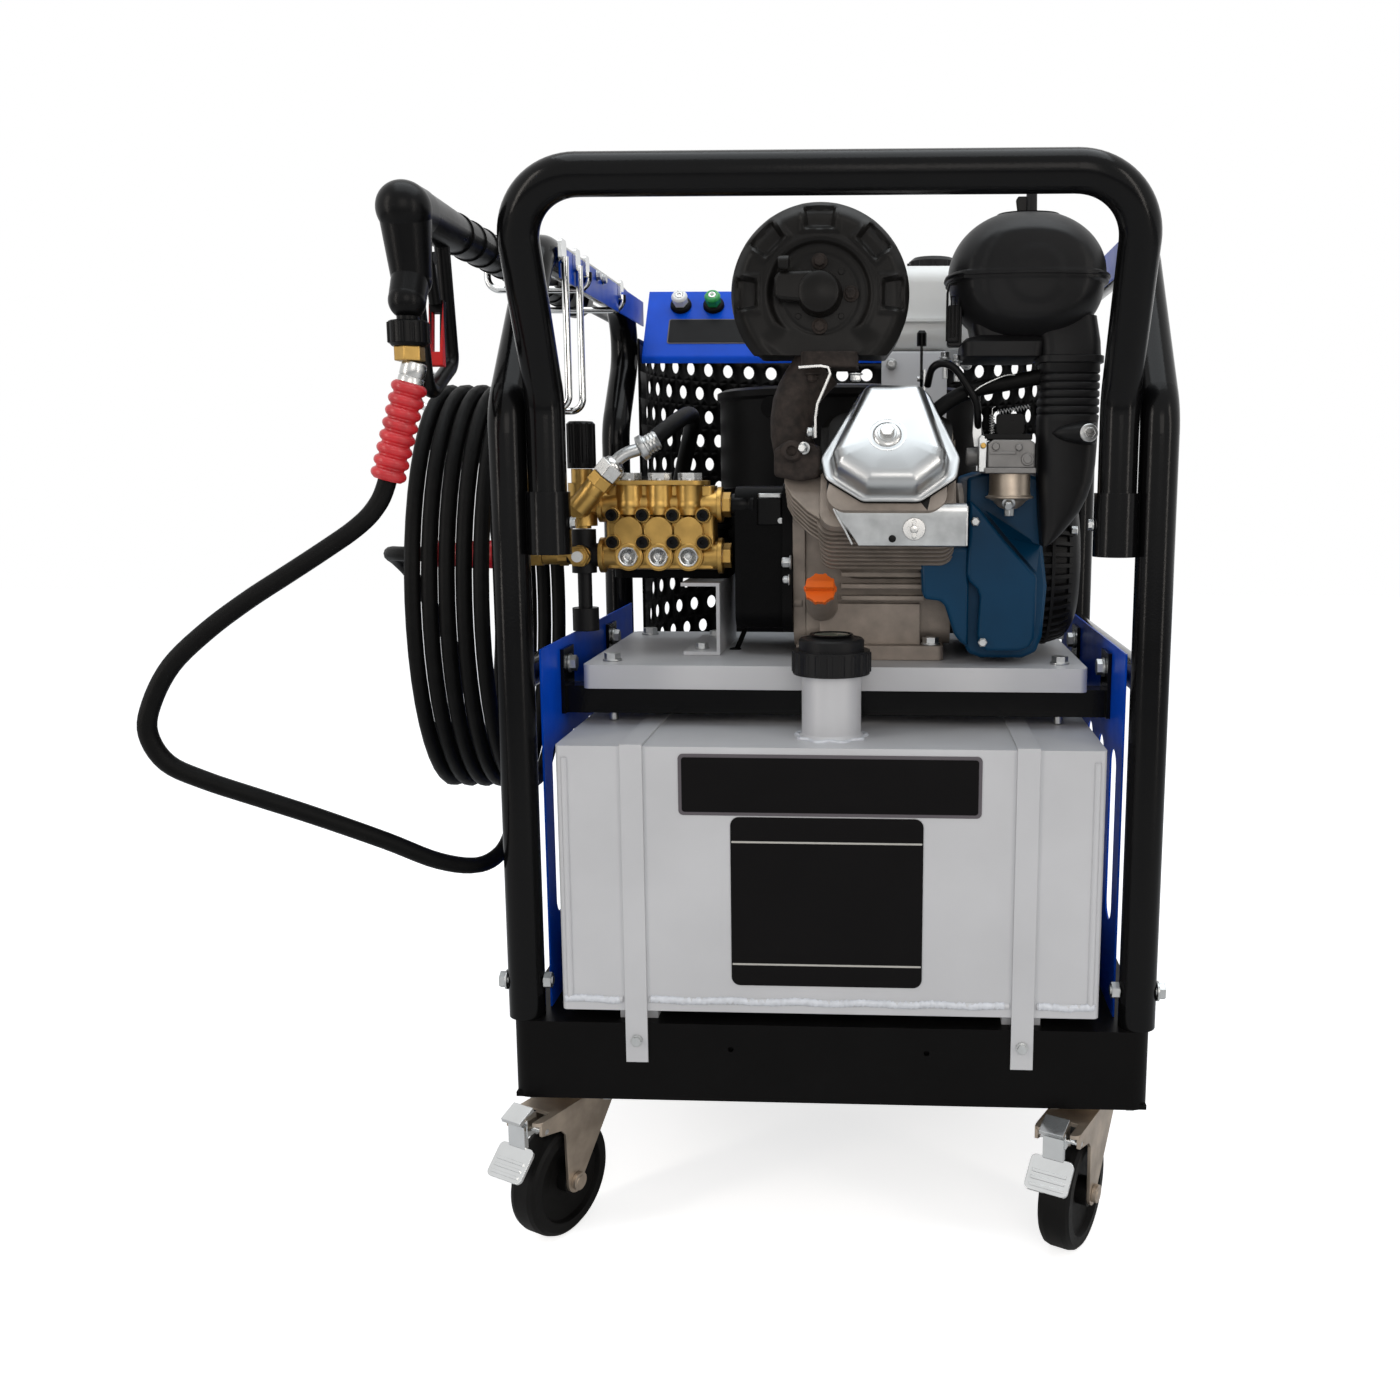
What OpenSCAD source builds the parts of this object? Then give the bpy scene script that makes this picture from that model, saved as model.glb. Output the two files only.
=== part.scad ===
// Hot water pressure washer on castors: tube cage, burner fuel tank, petrol engine, triplex pump.
// +Z up, +Y to the rear, +X to the right; the origin is on the floor under the middle of the base.

/* [Base] */
// Width of the base tray over its skirt
base_w = 664; // [620:1:720]
// Depth of the base tray, front to rear
base_l = 920; // [880:1:980]
// Height of the skirt
skirt_h = 85; // [70:1:100]

/* [Castors] */
// Diameter of the castor wheels
wheel_d = 125; // [115:1:130]
// Tread width of the castor wheels
wheel_w = 34; // [28:1:38]
// Overall height of a castor, floor to mounting face
castor_h = 168; // [164:1:176]
// Axle diameter of the castors
axle_d = 12; // [8:0.5:14]
// Spacing of the castor kingpins across the machine
castor_gauge = 556; // [530:1:558]
// Angle that the front castors stand turned from straight ahead
castor_turn = 27; // [0:1:40]

/* [Cage] */
// Diameter of the cage tube
tube_d = 38; // [32:1:42]
// Spacing of the side frames, tube centre to tube centre
cage_w = 640; // [632:1:644]
// Height of the side frames' top tube centre above the floor
cage_top = 1057; // [1040:1:1080]
// Height where the front uprights start to rake back
rake_z = 880; // [840:1:900]
// How far the rake carries the front uprights to the rear
front_rake = 138; // [100:1:150]
// How far the top tube runs past the rear uprights before it turns down to them
rear_rake = 140; // [100:1:150]
// Distance of the rear uprights behind the front ones
cage_l = 520; // [500:1:540]
// Height of the side rails between the uprights
rail_z = 612; // [600:1:620]
// Bend radius of the cage tube, to its centre
bend_r = 62; // [50:1:70]

/* [Handle] */
// Spacing of the handle legs, centre to centre
handle_w = 562; // [540:1:575]
// Height of the handle's top bar, to its centre
handle_top = 1081; // [1060:1:1095]

/* [Burner tank] */
// Width of the burner fuel tank
tank_w = 556; // [530:1:570]
// Height of the burner fuel tank
tank_h = 281; // [260:1:290]
// Diameter of the tank's filler neck
neck_d = 62; // [50:1:70]
// Diameter of the filler cap's grip ring
cap_d = 86; // [76:1:92]
// Spacing of the tank straps
strap_gap = 400; // [360:1:420]

/* [Engine plate] */
// Width of the engine plate
plate_w = 544; // [520:1:552]
// Depth of the engine plate
plate_l = 300; // [300:1:320]
// Height of the plate's top face above the floor
plate_top = 615; // [610:1:620]

/* [Engine] */
// Height of the crankshaft above the plate
crank_h = 106; // [104:1:110]
// Distance of the crankshaft behind the front uprights
crank_y = 228; // [224:1:236]
// Diameter of the muffler
muffler_d = 180; // [160:1:190]
// Depth of the muffler
muffler_l = 124; // [110:1:130]
// Diameter of the air cleaner
air_d = 168; // [160:1:172]

/* [Pump] */
// Height of the pump's manifold
manifold_h = 104; // [98:1:110]
// Diameter of the pressure knob
knob_d = 32; // [28:1:36]
// Length of the pressure knob
knob_h = 52; // [46:1:56]
// Thread radius of the garden hose inlet
inlet_r = 11; // [10:0.5:13]

/* [Boiler] */
// Diameter of the boiler shell
boiler_d = 366; // [340:1:380]
// Height of the boiler shell
boiler_h = 634; // [600:1:640]
// Radius of the perforated guard round the boiler
guard_r = 292; // [286:1:296]
// Diameter of the guard's holes
hole_d = 20; // [16:1:24]
// Spacing of the guard's holes
hole_gap = 40; // [36:1:44]

/* [Gun and hose] */
// Distance of the gun from the middle of the machine
gun_x = 379; // [374:1:390]
// Height of the gun's barrel above the floor
gun_z = 1057; // [1045:1:1065]
// Diameter of the gun's barrel grip
grip_d = 42; // [38:1:44]
// Outside diameter of the pressure hose
hose_d = 17; // [14:0.5:18]
// Number of loops in the hose hank
hank_loops = 5; // [4:1:7]

/* [Hidden] */
$fn = 48;
// Gap between flat faces that only rest near each other
gap = 0.3;
// Radial running clearance of a shaft in its hole
run_gap = 0.05;
// Overlap that lets a cut pass right through
cut = 1;

// Sheet, plate and small part sizes
base_corner_r = 16;
castor_plate_w = 105;
socket_h = 62;
socket_wall = 3;
strap_t = 2;
strap_w = 23;
plate_flange = 26;
plate_t = 4;
base_t = 3;
crank_d = 25.4;
plug_d = 24;
wire_d = 8;
neck_y = 61;
castor_inset = 66;
tank_l = 330;
shroud_d = 204;
lance_d = 13;
plunger_gap = 33.8;
cylinder_lean = 33;
handle_lean = 103;
castor_trail = 38;
neck_h = 76;
socket_z = 740;
// Base
front_y = -base_l / 2;
tray_z = castor_h + skirt_h;
// Cage, with the room its pipes keep beside the tank, plate and handle
tank_side = 42;
plate_side = 48;
handle_side = 39;
front_up_y = front_y + tube_d / 2;
rear_up_y = front_up_y + cage_l;
cage_x = max(cage_w / 2, tank_w / 2 + tank_side, plate_w / 2 + plate_side,
  handle_w / 2 + handle_side);
tube_r = tube_d / 2;
bolt_d = 10;
foot_bolt_z = tray_z + 38;
spigot_h = 60;
spigot_d = tube_d - 7;
side_bolts_y = [front_up_y + front_rake + 190, front_up_y + front_rake + 222];
// Blue sheet inside the side frames
panel_sheet = 2;
panel_x = cage_x - tube_r - gap;
panel_top = rail_z + 28;
// Outer face and thickness of the cross bars' end tabs
tab_x = panel_x - panel_sheet - gap;
tab_t = 4;
// Handle
handle_x = handle_w / 2;
socket_d = tube_d + 2 * socket_wall;
leg_z = socket_z + 12;
// Burner tank
tank_z = tray_z + 14;
tank_top = tank_z + tank_h;
neck_top = tank_top + neck_h;
// Engine plate
plate_y = front_up_y + 85;
damper_h = 22;
damper_d = 34;
damper_x = plate_w / 2 - 26;
damper_ys = [plate_y + 34, plate_y + plate_l - 34];
bar_w = 30;
// Top of the cross bars that carry the dampers
bar_top = plate_top - plate_t - damper_h;
// Engine
shaft_z = plate_top + crank_h;
shaft_y = front_up_y + crank_y;
// Left face of the crankcase, where the pump bolts on
case_x = -48;
case_w = 176;
// Right face of the crankcase
case_right = case_x + case_w;
bore_x = 56;
muffler_x = -10;
muffler_z = 1003;
muffler_y = front_up_y + 70;
air_x = 201;
air_y = front_up_y + 135;
air_z = 1022;
shroud_l = 84;
recoil_l = 46;
recoil_d = 172;
fuel_x = 112;
fuel_y = front_up_y + 415;
fuel_z = 968;
dip_x = -15;
dip_y = shaft_y - 118;
dip_z = shaft_z - 26;
dip_d = 20;
// Pump
pump_x = -198;
pump_z = shaft_z + 39;
pump_y = front_up_y + 150;
gearbox_l = 66;
manifold_w = 3 * plunger_gap + 38;
inlet_z = pump_z - manifold_h / 2 + 20;
outlet_z = pump_z + manifold_h / 2 - 27;
unloader_x = pump_x - manifold_w / 2 - 19.5;
// Boiler
boiler_y = front_up_y + 600;
boiler_z = tray_z + 46;
guard_z = tray_z + 8;
guard_h = 706;
guard_t = 2;
// Nozzle panel
panel_w = 576;
panel_y = front_up_y + 551;
panel_z = 968;
panel_lean = 36;
panel_l = 132;
panel_t = 2;
nozzle_gap = 47;
nozzle_x0 = -241;
grommet_d = 26;
grommet_up = 108;
// Gun and hose
gun_y = front_up_y - 92;
hose_r = hose_d / 2;

function unit(v) = v / norm(v);
// Bends of a tube along p with bend radius r
function turn(a, b, c) = acos(max(-1, min(1, unit(b - a) * unit(c - b))));
function setback(a, b, c, r) = r * tan(turn(a, b, c) / 2);
// Frame whose z axis runs along w
function side_of(w) = unit(cross(w, abs(w.z) < 0.9 ? [0, 0, 1] : [1, 0, 0]));
function frame_of(o, u, v, w) = [
  [u.x, v.x, w.x, o.x],
  [u.y, v.y, w.y, o.y],
  [u.z, v.z, w.z, o.z],
  [0, 0, 0, 1]];
function along(o, w) = frame_of(o, side_of(w), cross(w, side_of(w)), w);

// Round bar from a to b
module rod(a, b, d) {
  multmatrix(along(a, unit(b - a))) cylinder(d = d, h = norm(b - a));
}

// Quarter or lesser bend at b between the legs a-b and b-c
module elbow(a, b, c, d, r) {
  u = unit(b - a);
  n = unit(cross(u, unit(c - b)));
  start = b - u * setback(a, b, c, r);
  centre = start + cross(n, u) * r;
  x = unit(start - centre);
  multmatrix(frame_of(centre, x, cross(n, x), n))
    rotate_extrude(angle = turn(a, b, c)) translate([r, 0]) circle(d = d);
}

// Tube along p, its bends a little fuller than the runs they lap
module pipe(p, d, r) {
  last = len(p) - 1;
  for (i = [0:last - 1]) {
    u = unit(p[i + 1] - p[i]);
    from = i == 0 ? p[0] : p[i] + u * (setback(p[i - 1], p[i], p[i + 1], r) - 0.5);
    to = i == last - 1 ? p[last] : p[i + 1] - u * (setback(p[i], p[i + 1], p[i + 2], r) - 0.5);
    rod(from, to, d);
  }
  for (i = [1:1:last - 1]) elbow(p[i - 1], p[i], p[i + 1], d + 0.12, r);
}

// Plate with rounded corners, w by l, from z = 0 up
module slab(w, l, h, r) {
  linear_extrude(h) rounded(w, l, r);
}

module rounded(w, l, r) {
  for (x = [-1, 1], y = [-1, 1]) translate([x * (w / 2 - r), y * (l / 2 - r)]) circle(r);
  square([w - 2 * r, l], center = true);
  square([w, l - 2 * r], center = true);
}

// Hex bolt with washer; the head's underside is at z = 0
module bolt(d, shank) {
  cylinder(d = 2.1 * d, h = 0.2 * d);
  translate([0, 0, 0.2 * d]) cylinder(d = 1.8 * d, h = 0.64 * d, $fn = 6);
  translate([0, 0, -shank]) cylinder(d = d, h = shank + 0.2 * d);
}

module hex_nut(d) {
  cylinder(d = 1.8 * d, h = 0.8 * d, $fn = 6);
}

// Left and right copies
module both_sides() {
  children();
  mirror([1, 0, 0]) children();
}

// ---- Base tray, cage and handle ----

castor_x = castor_gauge / 2;
castor_y = base_l / 2 - castor_inset;
castor_plate_t = 4;
castor_hole = castor_plate_w / 2 - 13;
pad_t = 5;
strap_bolt_z = castor_h + skirt_h - 18;

module at_castor_holes() {
  for (x = [-1, 1], y = [-1, 1]) translate([x * castor_hole, y * castor_hole, 0]) children();
}

// Folded sheet tray, open underneath, with castor pads, channels and stub posts
module base_frame() color([0.05, 0.05, 0.055]) difference() {
  union() {
    difference() {
      translate([0, 0, castor_h]) slab(base_w, base_l, skirt_h, base_corner_r);
      translate([0, 0, castor_h - cut])
        slab(base_w - 2 * base_t, base_l - 2 * base_t, skirt_h - base_t + cut,
          base_corner_r - base_t);
    }
    for (x = [-1, 1], y = [-1, 1]) translate([x * castor_x, y * castor_y, castor_h + pad_t / 2])
      cube([2 * (base_w / 2 - castor_x) - base_t, 2 * (base_l / 2 - castor_y) - base_t, pad_t],
        center = true);
    for (y = [-1, 1]) translate([0, y * (castor_y - castor_plate_w / 2 - 12), castor_h + skirt_h / 2])
      cube([base_w - base_t, base_t + 1, skirt_h - 1], center = true);
    for (x = [-1, 1], y = [front_up_y, rear_up_y]) translate([x * cage_x, y, tray_z - 1])
      cylinder(d = spigot_d, h = spigot_h + 1);
  }
  for (x = [-1, 1], y = [-1, 1]) translate([x * castor_x, y * castor_y, castor_h - cut])
    at_castor_holes() cylinder(d = 9, h = pad_t + 2 * cut);
  for (y = [front_up_y, rear_up_y]) translate([-base_w, y, foot_bolt_z]) rotate([0, 90, 0])
    cylinder(d = bolt_d + 1, h = 2 * base_w);
  for (x = [-1, 1]) translate([x * strap_gap / 2, front_y - cut, strap_bolt_z]) rotate([-90, 0, 0])
    cylinder(d = 7, h = 20);
  // Two small unused holes in the front skirt, and drains in the floor
  for (x = [-1, 1]) translate([x * 102, front_y - cut, castor_h + 0.68 * skirt_h]) rotate([-90, 0, 0])
    cylinder(d = 6, h = 20);
  for (x = [-1, 1], y = [-1, 1]) translate([x * 120, y * 250, tray_z - 20]) cylinder(d = 16, h = 30);
}

side_path = [
  [-cage_x, front_up_y, tray_z],
  [-cage_x, front_up_y, rake_z],
  [-cage_x, front_up_y + front_rake, cage_top],
  [-cage_x, rear_up_y + rear_rake, cage_top],
  [-cage_x, rear_up_y, rake_z],
  [-cage_x, rear_up_y, tray_z]];

// Bent tube loop with its two rails and the welded handle socket
module side_frame() difference() {
  union() {
    pipe(side_path, tube_d, bend_r);
    rod([-cage_x, front_up_y, rail_z], [-cage_x, rear_up_y, rail_z], tube_d - 6);
    translate([-handle_x, front_up_y, socket_z]) cylinder(d = socket_d, h = socket_h);
    translate([-handle_x - 9, front_up_y - 4, socket_z + 8]) mirror([1, 0, 0])
      cube([cage_x - handle_x - 9, 8, socket_h - 16]);
  }
  translate([-handle_x, front_up_y, socket_z - cut]) cylinder(d = tube_d + 2 * gap, h = socket_h + 2 * cut);
  for (y = [front_up_y, rear_up_y]) {
    translate([-cage_x, y, tray_z - cut]) cylinder(d = spigot_d + 2 * gap, h = spigot_h + cut + 6);
    translate([-cage_x - tube_d, y, foot_bolt_z]) rotate([0, 90, 0])
      cylinder(d = bolt_d + 1, h = 2 * tube_d);
  }
  for (y = side_bolts_y) translate([-cage_x - tube_d, y, cage_top]) rotate([0, 90, 0])
    cylinder(d = 7, h = 2 * tube_d);
  // Set screw that locks the handle leg
  translate([-handle_x, front_up_y, socket_z + socket_h / 2]) rotate([0, 90, 0])
    cylinder(d = 7, h = tube_d);
  for (y = damper_ys) translate([-cage_x, y, rail_z]) rotate([0, 90, 0])
    cylinder(d = bolt_d + 1, h = tube_d);
}

module side_frame_left() color([0.04, 0.04, 0.045]) side_frame();
module side_frame_right() color([0.04, 0.04, 0.045]) mirror([1, 0, 0]) side_frame();

// Square bars under the engine plate, bolted to the rails by their end tabs
module cross_bars() color([0.05, 0.05, 0.055]) difference() {
  for (y = damper_ys) {
    translate([0, y, bar_top - bar_w / 2]) cube([2 * tab_x - 1, bar_w, bar_w], center = true);
    for (x = [-1, 1]) translate([x * (tab_x - tab_t / 2), y, (bar_top - bar_w + rail_z + 18) / 2])
      cube([tab_t, bar_w + 16, rail_z + 18 - bar_top + bar_w], center = true);
  }
  at_rail_bolts() cylinder(d = bolt_d + 1, h = 60, center = true);
  at_dampers() translate([0, 0, bar_top - bar_w - cut]) cylinder(d = bolt_d + 1, h = bar_w + 2 * cut);
}

module at_rail_bolts() {
  for (x = [-1, 1], y = damper_ys) translate([x * tab_x, y, rail_z]) rotate([0, x * 90, 0]) children();
}

module at_dampers() {
  for (x = [-1, 1], y = damper_ys) translate([x * damper_x, y, 0]) children();
}

handle_path = [
  [-handle_x, front_up_y, leg_z],
  [-handle_x, front_up_y, leg_z + 140],
  [-handle_x, front_up_y - handle_lean, handle_top],
  [handle_x, front_up_y - handle_lean, handle_top],
  [handle_x, front_up_y, leg_z + 140],
  [handle_x, front_up_y, leg_z]];

module handle_hoop() color([0.04, 0.04, 0.045]) difference() {
  pipe(handle_path, tube_d, bend_r);
  both_sides() translate([-handle_x, front_up_y, socket_z + socket_h / 2]) rotate([0, 90, 0])
    cylinder(d = 7, h = tube_d);
}

// ---- Blue panels ----

slot_w = 37;
slot_h = 188;
slot_pitch = 79;
slot_z = tray_z + 91;
slot_y0 = front_up_y + 70;
slots = 6;
strip_h = 34;

// Slotted sheet inside each side frame, and the strip along each top tube
module side_panels() color([0.02, 0.1, 0.5]) both_sides() difference() {
  union() {
    translate([-panel_x, front_up_y + tube_r + gap, tray_z + gap])
      cube([panel_sheet, cage_l - tube_d - 2 * gap, panel_top - tray_z]);
    translate([-panel_x, front_up_y + front_rake + 12, cage_top - strip_h + 6])
      cube([panel_sheet, rear_up_y + rear_rake - front_up_y - front_rake - 40, strip_h]);
  }
  for (i = [0:slots - 1]) translate([-cage_x, slot_y0 + i * slot_pitch, slot_z + slot_w / 2])
    rotate([0, 90, 0]) linear_extrude(tube_d) {
      circle(d = slot_w);
      translate([-(slot_h - slot_w), 0]) circle(d = slot_w);
      translate([-(slot_h - slot_w), -slot_w / 2]) square([slot_h - slot_w, slot_w]);
    }
  at_rail_bolts() cylinder(d = bolt_d + 1, h = 40, center = true);
  for (y = rests_y) translate([-cage_x, y - wire_r - 1, cage_top - strip_h]) cube([tube_d, wire_d + 2, 24]);
  for (y = side_bolts_y) translate([-cage_x, y, cage_top]) rotate([0, 90, 0])
    cylinder(d = 7, h = 2 * tube_d);
}

// ---- Burner fuel tank ----

weld_d = 7;
collar_h = 9;
cap_h = 26;
cap_ribs = 20;
dome_h = 14;
neck_cy = front_y + neck_y;

// Folded box with weld beads along its front edges and a welded filler neck
module diesel_tank() color([0.75, 0.76, 0.78]) difference() {
  union() {
    translate([0, front_y + tank_l / 2, tank_z]) slab(tank_w, tank_l, tank_h, 6);
    for (x = [-1, 1]) translate([x * (tank_w / 2 - 9), front_y + 1, tank_z + 12])
      cylinder(d = weld_d, h = tank_h - 24);
    for (x = [[9 - tank_w / 2, -strap_gap / 2 - 14], [14 - strap_gap / 2, strap_gap / 2 - 14],
      [strap_gap / 2 + 14, tank_w / 2 - 9]])
      rod([x[0], front_y + 1, tank_z + 12], [x[1], front_y + 1, tank_z + 12], weld_d);
    for (x = [-1, 1]) translate([x * strap_gap / 2 - 20, front_y + 14, tray_z])
      cube([40, tank_l - 28, tank_z - tray_z + 1]);
    translate([0, neck_cy, tank_top - 1]) cylinder(d = neck_d, h = neck_h + 1);
    translate([0, neck_cy, tank_top - 1]) cylinder(d1 = neck_d + 10, d2 = neck_d, h = 6);
  }
  translate([0, neck_cy, tank_top - 120]) cylinder(d = neck_d - 6, h = neck_h + 121);
}

// Ribbed screw cap with a grip ring and a stepped crown round the gauge window
module filler_cap() color([0.03, 0.03, 0.03]) translate([0, neck_cy, neck_top]) {
  difference() {
    union() {
      translate([0, 0, -collar_h]) cylinder(d = cap_d - 6, h = collar_h + cap_h * 0.6);
      for (i = [0:cap_ribs - 1]) rotate(i * 360 / cap_ribs) translate([cap_d / 2 - 5, 0, -collar_h + 2])
        cylinder(d = 7, h = collar_h + cap_h * 0.6 - 4, $fn = 16);
      cylinder(d = cap_d - 18, h = cap_h);
      translate([0, 0, cap_h]) cylinder(d1 = cap_d - 18, d2 = cap_d - 22, h = 2);
    }
    translate([0, 0, -collar_h - cut]) cylinder(d = neck_d + 2 * run_gap, h = collar_h + cut + gap);
    translate([0, 0, cap_h - 6]) cylinder(d = cap_d - 32, h = 12);
  }
  translate([0, 0, cap_h - 6 + gap]) intersection() {
    cylinder(d = cap_d - 32 - 2 * gap, h = dome_h);
    translate([0, 0, -cap_d + dome_h + 4]) sphere(cap_d - 6);
  }
}

// Flat straps over the tank, down to the skirt, with tails behind
module tank_straps() color([0.74, 0.75, 0.77]) for (x = [-1, 1]) translate([x * strap_gap / 2, 0, 0]) {
  difference() {
    rotate([90, 0, 90]) translate([0, 0, -strap_w / 2]) linear_extrude(strap_w) polygon([
      [front_y - gap, tank_top + gap], [front_y - gap, castor_h + skirt_h - 42],
      [front_y - gap - strap_t, castor_h + skirt_h - 42], [front_y - gap - strap_t, tank_top + gap + strap_t],
      [front_y + tank_l + gap + strap_t, tank_top + gap + strap_t],
      [front_y + tank_l + gap + strap_t, tray_z + gap + strap_t],
      [front_y + tank_l + 34, tray_z + gap + strap_t], [front_y + tank_l + 34, tray_z + gap],
      [front_y + tank_l + gap, tray_z + gap], [front_y + tank_l + gap, tank_top + gap]]);
    translate([0, front_y - 10, strap_bolt_z]) rotate([-90, 0, 0]) cylinder(d = 7, h = 20);
  }
}

// ---- Engine plate and its rubber dampers ----

pump_bracket_x = case_x - 88;
foot_x0 = case_x + 4;
foot_x1 = case_right - 8;
foot_y = shaft_y - 88;

module at_foot_bolts() {
  for (x = [foot_x0 + 14, foot_x1 - 14], y = [foot_y + 10, foot_y + 158])
    translate([x, y, plate_top]) children();
}

// Sheet plate with turned-down edges, drilled for what it carries
module engine_plate() color([0.72, 0.73, 0.75]) difference() {
  union() {
    translate([0, plate_y + plate_l / 2, plate_top - plate_t]) slab(plate_w, plate_l, plate_t, 8);
    difference() {
      translate([0, plate_y + plate_l / 2, plate_top - plate_flange])
        slab(plate_w, plate_l, plate_flange, 8);
      translate([0, plate_y + plate_l / 2, plate_top - plate_flange - cut])
        slab(plate_w - 2 * plate_t, plate_l - 2 * plate_t, plate_flange + 2 * cut, 5);
    }
  }
  at_dampers() translate([0, 0, plate_top - 2 * plate_t]) cylinder(d = bolt_d + 1, h = 4 * plate_t);
  at_foot_bolts() cylinder(d = bolt_d + 1, h = 4 * plate_t, center = true);
  at_bracket_bolts() cylinder(d = 9, h = 4 * plate_t, center = true);
}

// Waisted dampers under the plate, and the nozzles' rings in the blue panel
module rubber_mounts() color([0.05, 0.05, 0.05]) {
  at_dampers() translate([0, 0, bar_top + gap / 2]) rotate_extrude() polygon([
    [bolt_d / 2 + 0.5, 0], [damper_d / 2, 0], [damper_d / 2, 4], [damper_d / 2 - 4, damper_h / 2],
    [damper_d / 2, damper_h - 4], [damper_d / 2, damper_h - gap], [bolt_d / 2 + 0.5, damper_h - gap]]);
  for (i = [0:3]) on_panel() translate([nozzle_x0 + i * nozzle_gap, grommet_up, 0]) rotate_extrude() polygon([
    [6, -5], [12, -5], [12, -panel_t - gap], [grommet_d / 2 - 3.3, -panel_t - gap],
    [grommet_d / 2 - 3.3, gap], [grommet_d / 2, gap], [grommet_d / 2 - 1, 7], [6, 7]]);
}

// ---- Engine ----

cyl_r = 82;
barrel_z = 96;
barrel_w = 138;
barrel_up = 132;
head_z = 176;
head_h = 30;
fin_t = 3;
fin_gap = 9;
cover_z = head_z + head_h;
rocker = [[-20, -38], [29, -38], [58, -16], [60, -2], [31, 71], [-17, 71], [-53, -3], [-50, -17]];
rocker_r = 14;

// Places children on the cylinder's axis, z outward from the crank, y up over the slope
module on_cylinder() {
  translate([bore_x, shaft_y, shaft_z]) rotate([90 - cylinder_lean, 0, 0]) children();
}

function edge_out(p, q) = let (d = unit(q - p)) [d.y, -d.x];
// Convex outline p, listed anticlockwise, with every corner rounded outward by r
module soft_poly(p, r) {
  n = len(p);
  polygon([for (i = [0:n - 1]) for (e = [edge_out(p[(i + n - 1) % n], p[i]), edge_out(p[i], p[(i + 1) % n])])
    p[i] + e * r]);
  for (q = p) translate(q) circle(r);
}

// Crankcase and barrel in one casting, its side cover and the cylinder head
module crankcase() color([0.62, 0.61, 0.58]) {
  difference() {
    union() {
      translate([case_x + 14, shaft_y, shaft_z]) rotate([90, 0, 90]) linear_extrude(case_w - 14)
        soft_poly([[-46, -crank_h + 34], [38, -crank_h + 34], [70, 28], [20, 66], [-52, 40]], 20);
      // Feet with their machined pads
      translate([(foot_x0 + foot_x1) / 2, foot_y + 84, plate_top + gap]) slab(foot_x1 - foot_x0, 176, 16, 8);
      translate([foot_x0 + 26, foot_y + 14, plate_top + gap + 1]) cube([foot_x1 - foot_x0 - 52, 140, 60]);
      on_cylinder() translate([0, 0, 50]) linear_extrude(head_z - 50 - gap)
        rounded(barrel_w - 26, barrel_up - 26, 24);
      on_cylinder() for (z = [barrel_z:fin_gap:head_z - 8]) translate([0, 0, z])
        slab(barrel_w + 6, barrel_up, fin_t, 16);
      // Ribs across the front of the case
      for (i = [0:2]) translate([case_x + 54, shaft_y - 84, shaft_z - 14 - i * 13])
        cube([case_w - 84, 12, 5]);
      // Oil filler boss, sloping out of the front corner
      translate([dip_x, dip_y, dip_z]) rotate([90 - 30, 0, 0]) translate([0, 0, -44])
        cylinder(d = 34, h = 44);
    }
    translate([case_x - cut, shaft_y, shaft_z]) rotate([0, 90, 0])
      cylinder(d = crank_d + 12, h = case_w + 2 + 2 * cut);
    translate([dip_x, dip_y, dip_z]) rotate([90 - 30, 0, 0]) translate([0, 0, -26 - gap])
      cylinder(d = dip_d + 2 * run_gap, h = 40);
    at_foot_bolts() cylinder(d = bolt_d + 1, h = 60, center = true);
  }
  // Side cover with its flange and bearing boss
  difference() {
    union() {
      translate([case_x, shaft_y, shaft_z]) rotate([90, 0, 90]) linear_extrude(14 - gap)
        soft_poly([[-42, -crank_h + 34], [34, -crank_h + 34], [66, 28], [20, 62], [-54, 38]], 24);
      for (a = [20:64:340]) translate([case_x, shaft_y + 74 * cos(a), shaft_z - 12 + 62 * sin(a)])
        rotate([0, 90, 0]) cylinder(d = 15, h = 10);
    }
    translate([case_x - 10, shaft_y, shaft_z]) rotate([0, 90, 0]) cylinder(d = crank_d + 12, h = 40);
  }
  // Cylinder head
  on_cylinder() translate([0, 0, head_z]) {
    slab(barrel_w, barrel_up, 10, 16);
    translate([0, 0, 9]) slab(barrel_w - 1, barrel_up + 4, 4, 18);
    // Exhaust port
    translate([-barrel_w / 2 - 0.1, -6, 7]) cube([14, 52, 16]);
    translate([0, 0, 12]) slab(barrel_w - 16, barrel_up - 14, head_h - 12 - gap, 20);
  }
}

// Pressed steel cover: a flange, a tapered skirt and a raised middle
module rocker_cover() color([0.85, 0.86, 0.87]) on_cylinder() translate([0, 2, cover_z]) {
  linear_extrude(4) soft_poly(rocker, rocker_r);
  for (s = [[3, 0.94, 24, 0.84], [24.5, 0.8, 32, 0.66]]) hull() for (e = [0, 2], q = rocker)
    translate([q[0] * s[e + 1], q[1] * s[e + 1], s[e]]) cylinder(r = rocker_r * s[e + 1], h = 1, $fn = 24);
  translate([0, 8, 32]) cylinder(d = 26, h = 3);
  translate([0, 8, 35]) cylinder(d = 14, h = 7, $fn = 6);
}

shield_t = 2;
shield_w = 134;
lever_x = 92;
lever_y = front_up_y + 205;
lever_z = 925;
lever_pin_d = 6;
shelf_x = 48;
shelf_w = 79;
case_rear = shaft_y + 90 + gap;

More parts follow.
